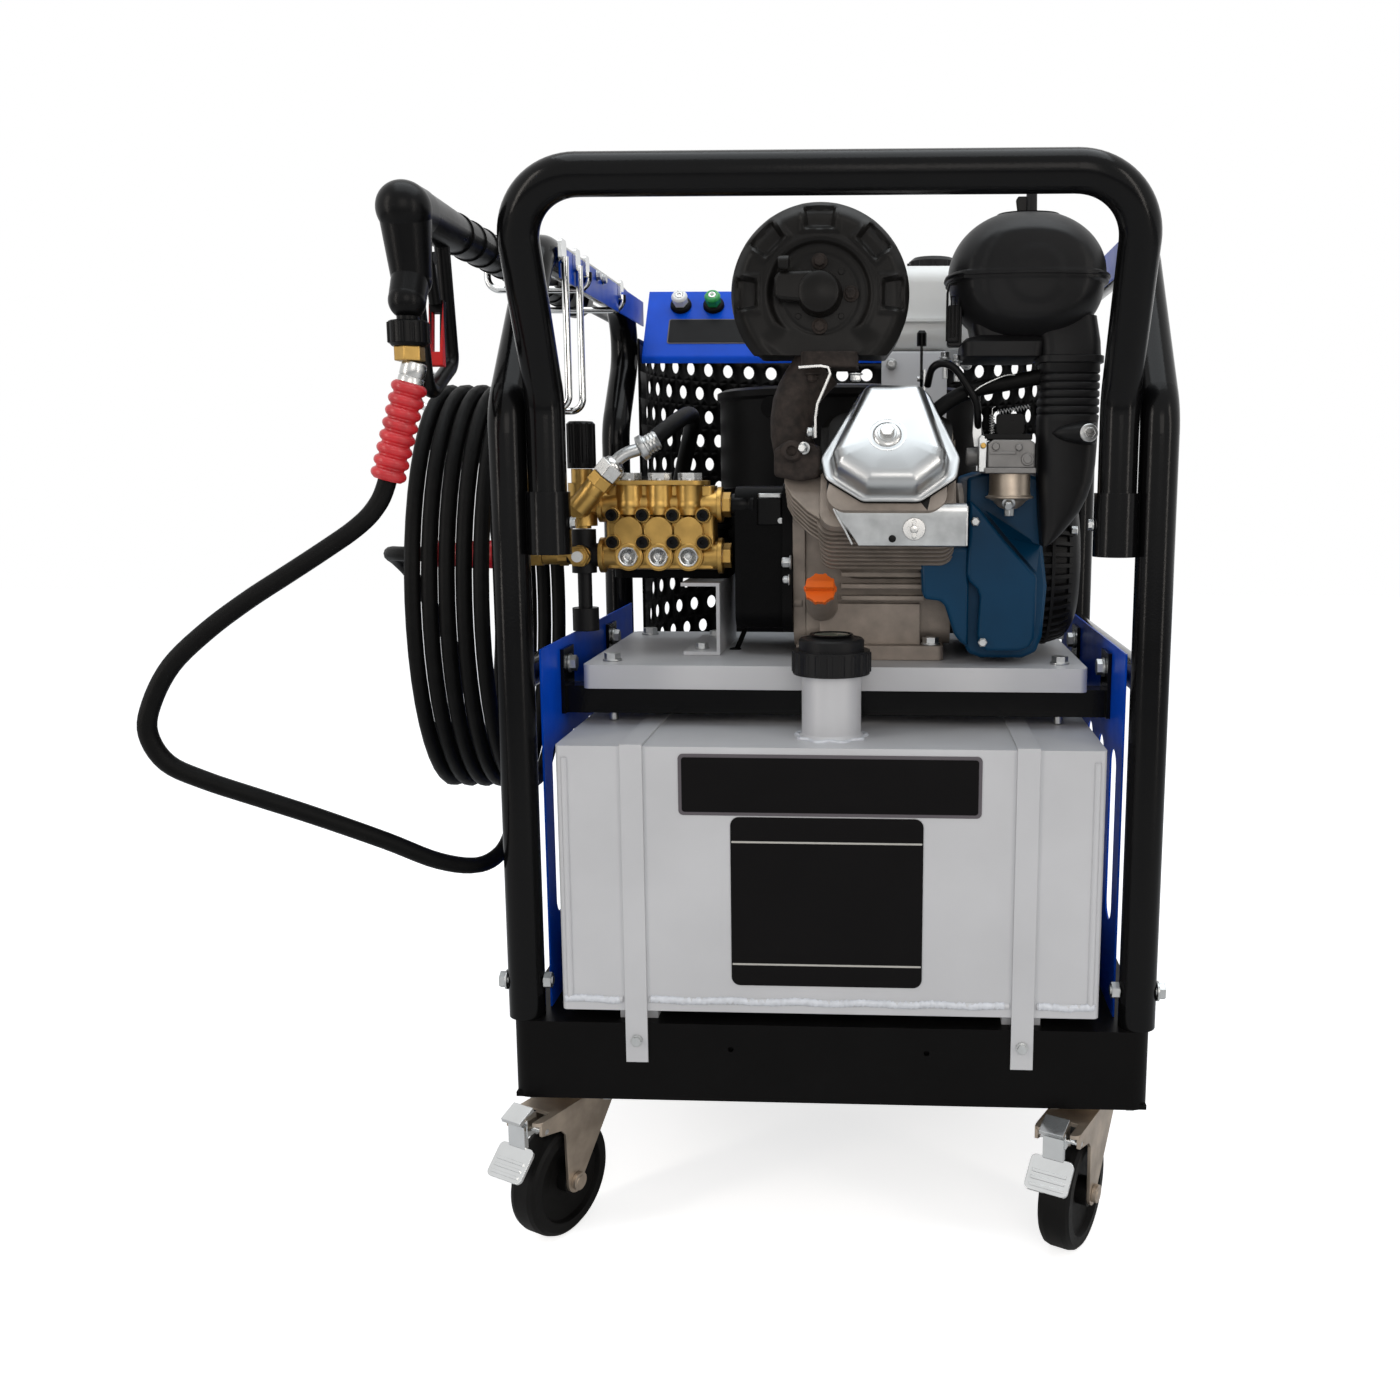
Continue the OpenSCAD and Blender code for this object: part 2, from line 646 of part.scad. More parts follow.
// Folded sheet metal on the engine: heat shield, petrol tank shelf and throttle pivot plate
module engine_brackets() color([0.7, 0.73, 0.75]) {
  on_cylinder() translate([2, -barrel_up / 2 - 10, head_z - 22]) rotate([-24, 0, 0]) {
    difference() {
      translate([-shield_w / 2, -shield_t, -28]) cube([shield_w, shield_t, 50]);
      translate([-shield_w / 2, -10, -28]) rotate([0, 45, 0]) cube([16, 30, 16], center = true);
    }
    translate([-shield_w / 2, -14, 20]) cube([shield_w, 14, shield_t]);
    translate([14, -shield_t + 1, -4]) rotate([90, 0, 0]) {
      cylinder(d = 12, h = 7);
      for (m = [0, 180]) rotate(m) translate([8, 0, 5]) slab(12, 3, 9, 1);
    }
  }
  translate([shelf_x, 0, 0]) rotate([90, 0, 90]) linear_extrude(shelf_w) polygon([
    [case_rear, shaft_z + 10], [case_rear + 3, shaft_z + 10], [case_rear + 3, fuel_z - 3 - gap],
    [fuel_y + 70, fuel_z - 3 - gap], [fuel_y + 70, fuel_z - gap], [case_rear, fuel_z - gap]]);
  for (x = [0, shelf_w - 3]) translate([shelf_x + x, 0, 0]) rotate([90, 0, 90]) linear_extrude(3) polygon([
    [case_rear + 1, shaft_z + 10], [case_rear + 20, shaft_z + 60], [case_rear + 24, fuel_z - 60],
    [fuel_y + 60, fuel_z - 2], [case_rear + 1, fuel_z - 2]]);
  translate([lever_x + 3 + gap, lever_y, 0]) rotate([90, 0, 90]) linear_extrude(3) polygon([
    [-11, shaft_z + 86 + gap], [55, shaft_z + 86 + gap], [55, shaft_z + 98], [11, shaft_z + 114],
    [11, lever_z + 10], [-11, lever_z + 10]]);
  translate([lever_x - 3, lever_y, lever_z]) rotate([0, 90, 0]) cylinder(d = lever_pin_d, h = 8);
}

elbow_d = 36;
// Middle of the exhaust port in the head's left side, and the pipe up to the muffler
port_y = shaft_y - 190 * cos(cylinder_lean) + 20 * sin(cylinder_lean);
port_z = shaft_z + 190 * sin(cylinder_lean) + 20 * cos(cylinder_lean);
port_x = bore_x - barrel_w / 2 - gap - 1.5;
elbow_path = [
  [port_x, port_y, port_z],
  [muffler_x - 25, port_y, port_z],
  [muffler_x - 23, front_up_y + 122, 917]];
muffler_foot = muffler_z - 64;

// Cast exhaust elbow from the head up to the muffler, with its flanges and stay
module exhaust_elbow() color([0.2, 0.14, 0.11]) {
  pipe(elbow_path, elbow_d, 19);
  translate([muffler_x - 23, front_up_y + 122, 906]) cylinder(d = elbow_d, h = 17);
  translate([muffler_x + 8, front_up_y + 132, 922]) slab(92, 62, 8, 10);
  on_cylinder() translate([-barrel_w / 2 - gap - 6, -6, head_z - 2]) cube([6, 52, 26]);
  for (x = [-32, 48]) translate([muffler_x + x, front_up_y + 132, 929]) cylinder(d = 10, h = 8, $fn = 6);
  pipe([[muffler_x - 4, front_up_y + 104, 926], [muffler_x - 8, front_up_y + 86, 915],
    [muffler_x - 13, front_up_y + 84, 880], [muffler_x - 19, front_up_y + 100, 868]], 5, 6);
}

recess_n = 5;

// Muffler can with a stamped guard: rim recesses, a bolted centre plate and the outlet spout
module muffler() color([0.04, 0.04, 0.04]) {
  translate([muffler_x, muffler_y + muffler_l, muffler_z]) rotate([90, 0, 0]) {
    difference() {
      union() {
        rotate_extrude() polygon([[0, 0], [muffler_d / 2 - 10, 0], [muffler_d / 2 - 2, 8],
          [muffler_d / 2 - 2, muffler_l - 26], [muffler_d / 2, muffler_l - 24],
          [muffler_d / 2, muffler_l - 18], [muffler_d / 2 - 14, muffler_l], [0, muffler_l]]);
        translate([-58, -64, 12]) cube([118, 30, muffler_l - 40]);
      }
      for (i = [0:recess_n - 1]) rotate(i * 51.5 - 13) translate([muffler_d / 2 - 17, 0, muffler_l - 7])
        linear_extrude(10) soft_poly([[-8, -8], [14, -12], [14, 12], [-8, 8]], 4);
      translate([0, 0, muffler_l - 5]) cylinder(r = 46, h = 6);
      translate([-120, -muffler_d, -cut]) cube([240, muffler_d - 64, 200]);
    }
    translate([0, 0, muffler_l - 6]) cylinder(r = 34, h = 6);
    for (a = [0:90:270]) rotate(a) translate([33, 0, muffler_l - 6]) {
      cylinder(d = 14, h = 7);
      cylinder(d = 9, h = 13, $fn = 6);
    }
    translate([0, 0, muffler_l - 4]) cylinder(d = 42, h = 24);
    difference() {
      translate([-40, -7, muffler_l + 2]) cube([40, 26, 16]);
      translate([-42, 6, muffler_l + 10]) rotate([0, 90, 0]) cylinder(d = 11, h = 20);
    }
  }
  translate([muffler_x + 8, front_up_y + 132, muffler_foot - 9 + gap]) slab(64, 58, 16, 8);
}

seam_t = 7;

// Lower bowl with its seam flange, the neck to the carburettor and the ribbed cooling duct
module air_cleaner_case() color([0.04, 0.04, 0.04]) {
  translate([air_x, air_y, air_z]) {
    rotate_extrude() polygon([[0, -66], [44, -66], [62, -56], [74, -38], [air_d / 2 - 4, -12],
      [air_d / 2, -10], [air_d / 2, -gap], [0, -gap]]);
    translate([-air_d / 2 - 2, -26, -44]) cube([16, 52, 42]);
    translate([-26, 8, -96]) cylinder(d = 46, h = 40);
  }
  duct();
}

duct_x = 246;
duct_w = 60;
duct_l = 52;
duct_y = front_up_y + 112;
duct_top = 958;
duct_turn = 770;
duct_ribs = 6;

// Ribbed duct down the right side that curves into the starter cover
module duct() {
  translate([duct_x, duct_y, duct_turn]) slab(duct_w, duct_l, duct_top - duct_turn + 20, 14);
  for (i = [0:duct_ribs - 1]) translate([duct_x, duct_y, duct_top - 24 - i * 9])
    slab(duct_w + 6, duct_l + 6, 4, 16);
  translate([duct_x + 16, duct_y - duct_l / 2 + 2, 852]) rotate([90, 0, 0]) cylinder(d = 24, h = 10);
  translate([duct_x + 16, duct_y - duct_l / 2 - 8, 852]) rotate([90, 0, 0]) cylinder(d = 12, h = 5, $fn = 6);
  hull() {
    translate([duct_x, duct_y, duct_turn]) slab(duct_w, duct_l, 6, 14, $fn = 32);
    translate([duct_x - 4, duct_y - 3, duct_turn - 26]) slab(duct_w - 10, duct_l - 12, 4, 14, $fn = 32);
  }
}

// Domed cover with its two raised steps, clipped at the seam and held by a long wing stud
module air_cleaner_cover() color([0.04, 0.04, 0.04]) translate([air_x, air_y, air_z]) {
  rotate_extrude() polygon(concat([[0, 0], [air_d / 2 + 3, 0], [air_d / 2 + 3, seam_t], [air_d / 2 - 1, seam_t]],
    [for (a = [4:8:76]) [(air_d / 2 - 1) * cos(a), seam_t + 62 * sin(a)]],
    [[24, seam_t + 62], [22, seam_t + 66], [0, seam_t + 66]]));
  translate([0, 0, seam_t + 60]) cylinder(d = 7, h = 26);
  translate([0, 0, seam_t + 66]) cylinder(d = 15, h = 5);
}

carb_x = 184;
carb_y = front_up_y + 126;

// Cast carburettor body, throat flange, float bowl and drain screw
module carburettor() color([0.6, 0.6, 0.6]) translate([carb_x, carb_y, 0]) {
  translate([-36, -24, 806]) cube([66, 46, 34]);
  translate([-34, -2, 840]) cube([40, 26, 14]);
  translate([-8, 6, 836]) cylinder(d = 40, h = air_z - 96 - 836 - gap);
  translate([0, 0, 786]) cylinder(d1 = 44, d2 = 48, h = 20);
  translate([0, 0, 776]) cylinder(d1 = 30, d2 = 44, h = 10);
  translate([0, 0, 768]) cylinder(d = 12, h = 9, $fn = 6);
  translate([-35, 4, 822]) rotate([0, -90, 0]) cylinder(d = 36, h = carb_x - 35 - bore_x - barrel_w / 2 - 3 - gap);
}

shroud_x = case_right + gap;

// Round shroud over the flywheel, with a wing forward to the head and a cheek beside the crankcase
module fan_shroud() color([0.02, 0.12, 0.25]) difference() {
  translate([shroud_x, shaft_y, shaft_z]) {
    rotate([90, 0, 90]) linear_extrude(shroud_l) {
      circle(d = shroud_d);
      soft_poly([[-98, -78], [0, -78], [0, 56], [-86, 14], [-98, 2]], 18);
    }
    translate([-22, -90, -38]) rotate([90, 0, 0]) linear_extrude(26)
      soft_poly([[0, 0], [40, 0], [40, 22], [0, 22]], 9);
  }
  translate([shroud_x - cut, shaft_y, shaft_z]) rotate([0, 90, 0]) cylinder(d = shroud_d - 8, h = shroud_l + 2 * cut);
  translate([shroud_x - cut, shaft_y, shaft_z]) rotate([90, 0, 90]) linear_extrude(shroud_l - 3)
    soft_poly([[-98, -78], [0, -78], [0, 56], [-86, 14], [-98, 2]], 14);
}

grille_n = 26;

// Starter cover: a domed ring with radial slots round a plain middle
module recoil_cover() color([0.05, 0.05, 0.05]) translate([shroud_x + shroud_l + gap, shaft_y, shaft_z])
  rotate([90, 0, 90]) difference() {
    rotate_extrude() polygon([[0, recoil_l], [recoil_d / 2 - 16, recoil_l], [recoil_d / 2, recoil_l - 16],
      [recoil_d / 2, 6], [shroud_d / 2 - 4, 6], [shroud_d / 2 - 4, 0], [recoil_d / 2 - 4, 0],
      [recoil_d / 2 - 4, recoil_l - 18], [recoil_d / 2 - 18, recoil_l - 4], [0, recoil_l - 4]]);
    for (i = [0:grille_n - 1]) rotate(i * 360 / grille_n) translate([recoil_d / 2 - 42, -2.5, recoil_l - 8])
      cube([24, 5, 12]);
    translate([-recoil_d / 2 + 26, 0, recoil_l - 8]) cylinder(d = 9, h = 12);
  }

// Starter grip on its rope, at the front of the cover
module recoil_grip() color([0.05, 0.05, 0.05])
  translate([shroud_x + shroud_l + gap + recoil_l + gap, shaft_y - recoil_d / 2 + 26, shaft_z]) rotate([0, 90, 0]) {
    translate([0, 0, -10]) cylinder(d = 6, h = 12);
    difference() {
      translate([-14, -8, 2]) cube([28, 16, 9]);
      translate([-9, 9, 2]) cylinder(r = 3, h = 30, center = true);
    }
  }

blades = 16;

// Crankshaft with the flywheel and its fan; the pump end is keyed into the gearbox
module flywheel() color([0.5, 0.5, 0.52]) translate([0, shaft_y, shaft_z]) rotate([0, 90, 0]) {
  translate([0, 0, case_x - 34]) cylinder(d = crank_d, h = case_w + 34 + 60);
  translate([0, 0, shroud_x + 8]) {
    cylinder(r = shroud_d / 2 - 14, h = 14);
    cylinder(r = 34, h = 44);
    for (i = [0:blades - 1]) rotate(i * 360 / blades) translate([36, -1.5, 13])
      cube([shroud_d / 2 - 54, 3, 20]);
  }
}

fuel_w = 150;
fuel_l = 190;
fuel_h = 100;

// White moulded petrol tank: a softened box with a seam flange and a filler neck
module fuel_tank() color([0.93, 0.93, 0.92]) translate([fuel_x, fuel_y, fuel_z]) difference() {
  union() {
    intersection() {
      slab(fuel_w, fuel_l, fuel_h, 26);
      translate([0, fuel_l / 2, fuel_h / 2]) rotate([90, 0, 0]) slab(fuel_w, fuel_h, fuel_l, 24);
      translate([-fuel_w / 2, 0, fuel_h / 2]) rotate([90, 0, 90]) slab(fuel_l, fuel_h, fuel_w, 22);
    }
    translate([0, 0, 32]) slab(fuel_w + 8, fuel_l + 8, 4, 29);
    translate([0, 20, fuel_h - 2]) cylinder(d = 40, h = 12);
  }
  translate([0, 20, fuel_h - 30]) cylinder(d = 34, h = 60);
}

module fuel_cap() color([0.04, 0.04, 0.04]) translate([fuel_x, fuel_y + 20, fuel_z + fuel_h + 10]) difference() {
  union() {
    translate([0, 0, -8]) cylinder(d = 62, h = 16);
    translate([0, 0, 8]) cylinder(d1 = 62, d2 = 50, h = 5);
    for (i = [0:11]) rotate(i * 30) translate([30, 0, -7]) cylinder(d = 6, h = 14, $fn = 16);
  }
  translate([0, 0, -9]) cylinder(d = 40 + 2 * run_gap, h = 9 + gap);
}

// Orange oil filler plug: a finger bar on a round cap, with its stick
module dipstick() color([0.9, 0.3, 0.05]) translate([dip_x, dip_y, dip_z]) rotate([90 - 30, 0, 0]) {
  translate([0, 0, -25]) cylinder(d = dip_d, h = 26 + gap);
  translate([0, 0, gap]) cylinder(d = 33, h = 6);
  for (i = [0:9]) rotate(i * 36) translate([15.5, 0, gap]) cylinder(d = 5, h = 6, $fn = 16);
  translate([-15, -4, 5]) cube([30, 8, 11]);
}

// Throttle lever with its knob, on a pivot over the cylinder
module throttle_lever() color([0.05, 0.05, 0.05]) translate([lever_x, lever_y, lever_z]) {
  difference() {
    rotate([0, 90, 0]) linear_extrude(3) {
      circle(r = 9);
      translate([-38, -4]) square([38, 8]);
    }
    rotate([0, 90, 0]) cylinder(d = 6 + 2 * run_gap, h = 10, center = true);
  }
  translate([1.5, 0, 36]) cylinder(d = 11, h = 14);
  translate([1.5, 0, 50]) cylinder(d1 = 11, d2 = 7, h = 3);
}

// ---- Pump ----

manifold_d = 46;
pump_back = pump_y + manifold_d + 28;
pump_case_l = 104;
gear_x = case_x - gearbox_l;

module at_plungers() {
  for (i = [-1:1]) translate([pump_x + i * plunger_gap, 0, 0]) children();
}

// Finned pump crankcase, the reduction gearbox and its flange on the engine
module pump_gearbox() color([0.05, 0.05, 0.055]) difference() {
  union() {
    translate([pump_x, pump_back + pump_case_l / 2, pump_z - 62])
      slab(manifold_w - 4, pump_case_l, 104, 14);
    for (i = [0:5]) translate([pump_x, pump_back + pump_case_l / 2, pump_z - 52 + i * 16])
      slab(manifold_w + 4, pump_case_l + 6, 5, 14);
    at_plungers() translate([0, pump_back + 2, pump_z - 4]) rotate([90, 0, 0])
      cylinder(d = 30, h = pump_back + 2 - pump_y - manifold_d - gap);
    translate([gear_x, shaft_y, shaft_z]) rotate([90, 0, 90]) linear_extrude(gearbox_l - 12)
      soft_poly([[-46, -56], [46, -56], [62, 0], [46, 64], [-46, 64]], 20);
    translate([case_x - 12, shaft_y, shaft_z]) rotate([90, 0, 90]) linear_extrude(12 - gap)
      soft_poly([[-58, -56], [58, -56], [64, 0], [50, 66], [-50, 66]], 22);
    translate([pump_x + manifold_w / 2 - 14, pump_back + pump_case_l / 2, pump_z - 10]) rotate([0, 90, 0])
      cylinder(d = 78, h = 34);
  }
  translate([case_x - 36, shaft_y, shaft_z]) rotate([0, 90, 0]) cylinder(d = crank_d + 2 * run_gap, h = 60);
}

port_d = 32;

// Brass manifold: three valve barrels over two rows of bosses, and a port at each end
module pump_manifold() color([0.72, 0.5, 0.2]) difference() {
  union() {
    translate([pump_x, pump_y + manifold_d / 2 + 6, pump_z - manifold_h / 2 + 6])
      slab(manifold_w - 16, manifold_d - 12, manifold_h - 12, 6);
    at_plungers() {
      translate([0, pump_y + 18, pump_z + 14]) cylinder(d = plunger_gap - 2, h = manifold_h / 2 - 14);
      translate([0, pump_y + 18, outlet_z]) sphere(d = plunger_gap - 1);
      for (z = [pump_z - 4, inlet_z]) translate([0, pump_y + 10, z]) rotate([90, 0, 0])
        cylinder(d = plunger_gap - 2, h = 10);
    }
    translate([pump_x, pump_y + 20, pump_z + manifold_h / 2 - 5]) slab(manifold_w - 28, 40, 5, 16);
    for (z = [inlet_z, outlet_z]) translate([pump_x - manifold_w / 2, pump_y + 24, z]) rotate([0, 90, 0]) {
      cylinder(d = port_d, h = manifold_w);
      cylinder(d = port_d + 8, h = 5);
      translate([0, 0, manifold_w - 5]) cylinder(d = port_d + 8, h = 5);
    }
    at_manifold_bolts() cylinder(d = 15, h = 14);
  }
  for (z = [inlet_z, outlet_z]) translate([pump_x - manifold_w / 2 - cut, pump_y + 24, z]) rotate([0, 90, 0])
    cylinder(d = plug_d, h = manifold_w + 2 * cut);
  at_plungers() {
    translate([0, pump_y - cut, inlet_z]) rotate([-90, 0, 0]) cylinder(d = plug_d + 1, h = 9);
    translate([0, pump_y + 18, pump_z + manifold_h / 2 - 12]) cylinder(d = plug_d + 1, h = 20);
  }
  at_manifold_bolts() translate([0, 0, -40]) cylinder(d = 9, h = 80);
}

module at_manifold_bolts() {
  for (i = [-1.5:1:1.5], z = [pump_z + 14, pump_z - 16]) translate([pump_x + i * plunger_gap, pump_y + 14, z])
    rotate([90, 0, 0]) children();
}

// Round valve plugs in front, hex caps on top, end plugs and the black socket bolts
module pump_plugs() color([0.75, 0.75, 0.76]) {
  at_plungers() {
    translate([0, pump_y + 7, inlet_z]) rotate([90, 0, 0]) {
      cylinder(d = plug_d, h = 8);
      translate([0, 0, 8]) cylinder(d = plug_d - 1, h = 3, $fn = 6);
    }
    translate([0, pump_y + 18, pump_z + manifold_h / 2 - 11]) {
      cylinder(d = plug_d, h = 13);
      translate([0, 0, 11 + gap]) cylinder(d = plug_d + 3, h = 8, $fn = 6);
    }
  }
  for (z = [inlet_z, outlet_z]) translate([pump_x + manifold_w / 2, pump_y + 24, z]) rotate([0, 90, 0]) {
    translate([0, 0, -10]) cylinder(d = plug_d - 2 * gap, h = 12);
    translate([0, 0, gap]) cylinder(d = plug_d + 4, h = 9, $fn = 6);
  }
  at_manifold_bolts() difference() {
    union() {
      translate([0, 0, -8]) cylinder(d = 8, h = 24);
      translate([0, 0, 14 + gap]) cylinder(d = 13, h = 8);
    }
    translate([0, 0, 18]) cylinder(d = 6, h = 8, $fn = 6);
  }
}

unl_y = pump_y + 24;
knob_z = outlet_z + 40;
unl_top = knob_z - gap;

// Brass unloader on the outlet port, its stem, bypass leg and the angled outlet
module unloader_valve() color([0.72, 0.5, 0.2]) {
  translate([unloader_x, unl_y, 0]) {
    translate([0, 0, inlet_z + 30]) cylinder(d = 18, h = outlet_z - inlet_z - 30);
    translate([0, 0, inlet_z + 34]) cylinder(d = 26, h = 12);
    translate([0, 0, outlet_z - 24]) cylinder(d = 32, h = 48);
    translate([0, 0, outlet_z + 24]) cylinder(d = 24, h = unl_top - outlet_z - 24);
  }
  translate([unloader_x, unl_y, outlet_z]) rotate([0, 90, 0]) {
    cylinder(d = 26, h = pump_x - manifold_w / 2 - unloader_x - gap);
    translate([0, 0, 10]) cylinder(d = 30, h = 8, $fn = 6);
  }
  translate([unloader_x, unl_y - 12, outlet_z - 2]) rotate([90, 0, 0]) cylinder(d = 26, h = 22);
  rod([unloader_x + 1, unl_y - 30, outlet_z - 4], [unloader_x + 1 + 16, unl_y - 30, outlet_z + 14], 25);
}

// Fluted pressure knob
module unloader_knob() color([0.03, 0.03, 0.03]) translate([unloader_x, unl_y, knob_z]) difference() {
  union() {
    cylinder(d = knob_d, h = knob_h - 3);
    translate([0, 0, knob_h - 3]) cylinder(d1 = knob_d, d2 = knob_d - 6, h = 3);
  }
  for (i = [0:13]) rotate(i * 360 / 14) translate([knob_d / 2 + 0.6, 0, 6]) cylinder(d = 4, h = knob_h, $fn = 16);
}

tee_left = unloader_x - 46;
inlet_foot = 642;

// Black tee on the inlet port: brass nipples to the left and front, and the water inlet below
module inlet_tee() color([0.08, 0.08, 0.08]) difference() {
  union() {
    translate([unloader_x, unl_y, inlet_z]) {
      rotate([0, 90, 0]) cylinder(d = 27, h = pump_x - manifold_w / 2 - unloader_x - gap);
      translate([0, 0, -20]) cylinder(d = 28, h = 49);
      rotate([90, 0, 0]) cylinder(d = 24, h = 20);
      translate([0, -20, 0]) rotate([90, 0, 0]) cylinder(d = 25, h = 9, $fn = 6);
      translate([0, -29, 0]) rotate([90, 0, 0]) cylinder(d = 12, h = 8);
      rotate([0, -90, 0]) cylinder(d = 22, h = unloader_x - tee_left);
      translate([-18, 0, 0]) rotate([0, -90, 0]) cylinder(d = 25, h = 10, $fn = 6);
    }
    translate([unloader_x, unl_y, inlet_foot]) cylinder(d = 2 * inlet_r + 8, h = 26);
    translate([unloader_x, unl_y, inlet_foot + 20]) cylinder(d = 16, h = inlet_z - inlet_foot - 20);
  }
  translate([unloader_x, unl_y, inlet_foot - cut]) cylinder(r = inlet_r, h = 20 + cut);
}

bracket_h = pump_z - 62 - gap - plate_top - gap;

module at_bracket_bolts() {
  for (y = [pump_y + 40, pump_back + pump_case_l - 22])
    translate([pump_bracket_x - 20, y, plate_top]) children();
}

// Folded Z bracket that carries the pump's outer end
module pump_bracket() color([0.7, 0.7, 0.71]) difference() {
  translate([pump_bracket_x, pump_back + pump_case_l - 4, plate_top + gap]) rotate([90, 0, 0])
    linear_extrude(pump_back + pump_case_l - 18 - pump_y) polygon([[0, 4], [0, bracket_h - 4], [-40, bracket_h - 4], [-40, bracket_h],
      [4, bracket_h], [4, 0], [-38, 0], [-38, 4]]);
  at_bracket_bolts() cylinder(d = 9, h = 30, center = true);
}

pipe_d = 14;
outlet_p = [unloader_x + 18, unl_y - 30, outlet_z + 16];

// Swivel nut, bent steel tube with its collar, and the short hose that runs back to the boiler
module outlet_pipe() color([0.75, 0.75, 0.76]) {
  rod(outlet_p, outlet_p + [17, 0, 19], 24);
  pipe([outlet_p + [17, 0, 19], outlet_p + [44, 2, 49], outlet_p + [78, 8, 62]], pipe_d, 24);
  rod(outlet_p + [78, 8, 62], outlet_p + [84, 9, 64.5], 27);
  pipe([outlet_p + [84, 9, 64.5], outlet_p + [126, 70, 88], [boiler_port_x, boiler_port_y - 60, boiler_port_z],
    [boiler_port_x, boiler_port_y + 1, boiler_port_z]], 17, 40);
}

boiler_port_x = -96;
boiler_port_z = 905;
boiler_port_y = boiler_y - sqrt(pow(boiler_d / 2 + 12, 2) - pow(boiler_port_x, 2));

// ---- Boiler, guard and nozzle panel ----

// Boiler shell with rolled rims, domed top, flue collar, burner tube and three feet
module boiler() color([0.02, 0.02, 0.02]) difference() {
  union() {
    translate([0, boiler_y, boiler_z]) rotate_extrude() polygon([[0, 0], [boiler_d / 2 - 4, 0],
      [boiler_d / 2 + 4, 4], [boiler_d / 2 + 4, 12], [boiler_d / 2, 16], [boiler_d / 2, boiler_h - 16],
      [boiler_d / 2 + 4, boiler_h - 12], [boiler_d / 2 + 4, boiler_h - 4], [boiler_d / 2 - 4, boiler_h],
      [80, boiler_h + 8], [0, boiler_h + 8]]);
    for (a = [30, 150, 270]) translate([0, boiler_y, tray_z]) rotate(a) translate([boiler_d / 2 - 40, 0, 0])
      cylinder(d = 30, h = boiler_z - tray_z + 2);
    translate([boiler_port_x, boiler_port_y + 1 + gap, boiler_port_z]) rotate([-90, 0, 0]) cylinder(d = 28, h = 40);
  }
  translate([0, boiler_y, boiler_z + boiler_h - 40]) cylinder(d = 110, h = 120);
}

guard_cols = floor(180 * guard_r * PI / 180 / hole_gap) - 1;
guard_rows = floor((guard_h - 30) / (hole_gap - 2));

// Half round perforated sheet behind the boiler, with straight flanges on the rear uprights
module rear_guard() color([0.06, 0.06, 0.065]) difference() {
  union() {
    translate([0, boiler_y, guard_z]) rotate_extrude(angle = 180) translate([guard_r - guard_t, 0])
      square([guard_t, guard_h]);
    both_sides() translate([-guard_r, rear_up_y + tube_r + gap, guard_z])
      cube([guard_t, boiler_y - rear_up_y - tube_r - gap + 0.5, guard_h]);
  }
  for (j = [0:guard_rows - 1], i = [0:guard_cols - 1])
    translate([0, boiler_y, guard_z + 26 + j * (hole_gap - 2)])
      rotate((i + 0.75 + (j % 2) / 2) * 180 / (guard_cols + 0.5)) translate([guard_r - 8, 0, 0])
        rotate([0, 90, 0]) cylinder(d = hole_d, h = 16);
}

module on_panel() {
  translate([0, panel_y, panel_z]) rotate([90 - panel_lean, 0, 0]) children();
}

// Folded blue panel between the rear tubes: sloping face, front lip, rear return and flanges
module nozzle_panel() color([0.01, 0.15, 0.65]) difference() {
  union() {
    translate([-panel_w / 2, 0, 0]) rotate([90, 0, 90]) linear_extrude(panel_w) {
      translate([panel_y, panel_z]) rotate(90 - panel_lean) {
        translate([0, -panel_t]) square([panel_l, panel_t]);
        translate([panel_l - panel_t, -36]) square([panel_t, 36]);
      }
      translate([panel_y, panel_z - 18]) square([panel_t, 18]);
    }
    on_panel() both_sides() translate([-panel_w / 2, 4, -30]) cube([panel_t, panel_l - 5, 29]);
  }
  for (i = [0:3]) on_panel() translate([nozzle_x0 + i * nozzle_gap, grommet_up, -10])
    cylinder(d = grommet_d - 6, h = 20);
}

// Quick coupling spray nozzle standing in its rubber ring
module nozzle(i) {
  on_panel() translate([nozzle_x0 + i * nozzle_gap, grommet_up, 0]) {
    translate([0, 0, 7 + gap]) cylinder(d = 22, h = 12, $fn = 6);
    translate([0, 0, 19]) cylinder(d1 = 20, d2 = 16, h = 3);
    translate([0, 0, -24]) cylinder(r = 6 - run_gap, h = 32);
  }
}

module nozzle_white() color("white") nozzle(0);
module nozzle_green() color("green") nozzle(1);
module nozzle_yellow() color("gold") nozzle(2);
module nozzle_red() color("firebrick") nozzle(3);

// ---- Hose hooks, gun and lance ----

wire_r = wire_d / 2;
hook_y0 = front_up_y + 150;
hook_gap = 65;
pad_x = -panel_x + panel_sheet + gap;
hook_x = pad_x + wire_r + 0.6;
hook_reach = -462;
hank_y = hook_y0 + hook_gap / 2;
hank_top = 918;
hook_z = hank_top - hose_d - 7 - wire_r;
rest_y0 = front_up_y + 120;

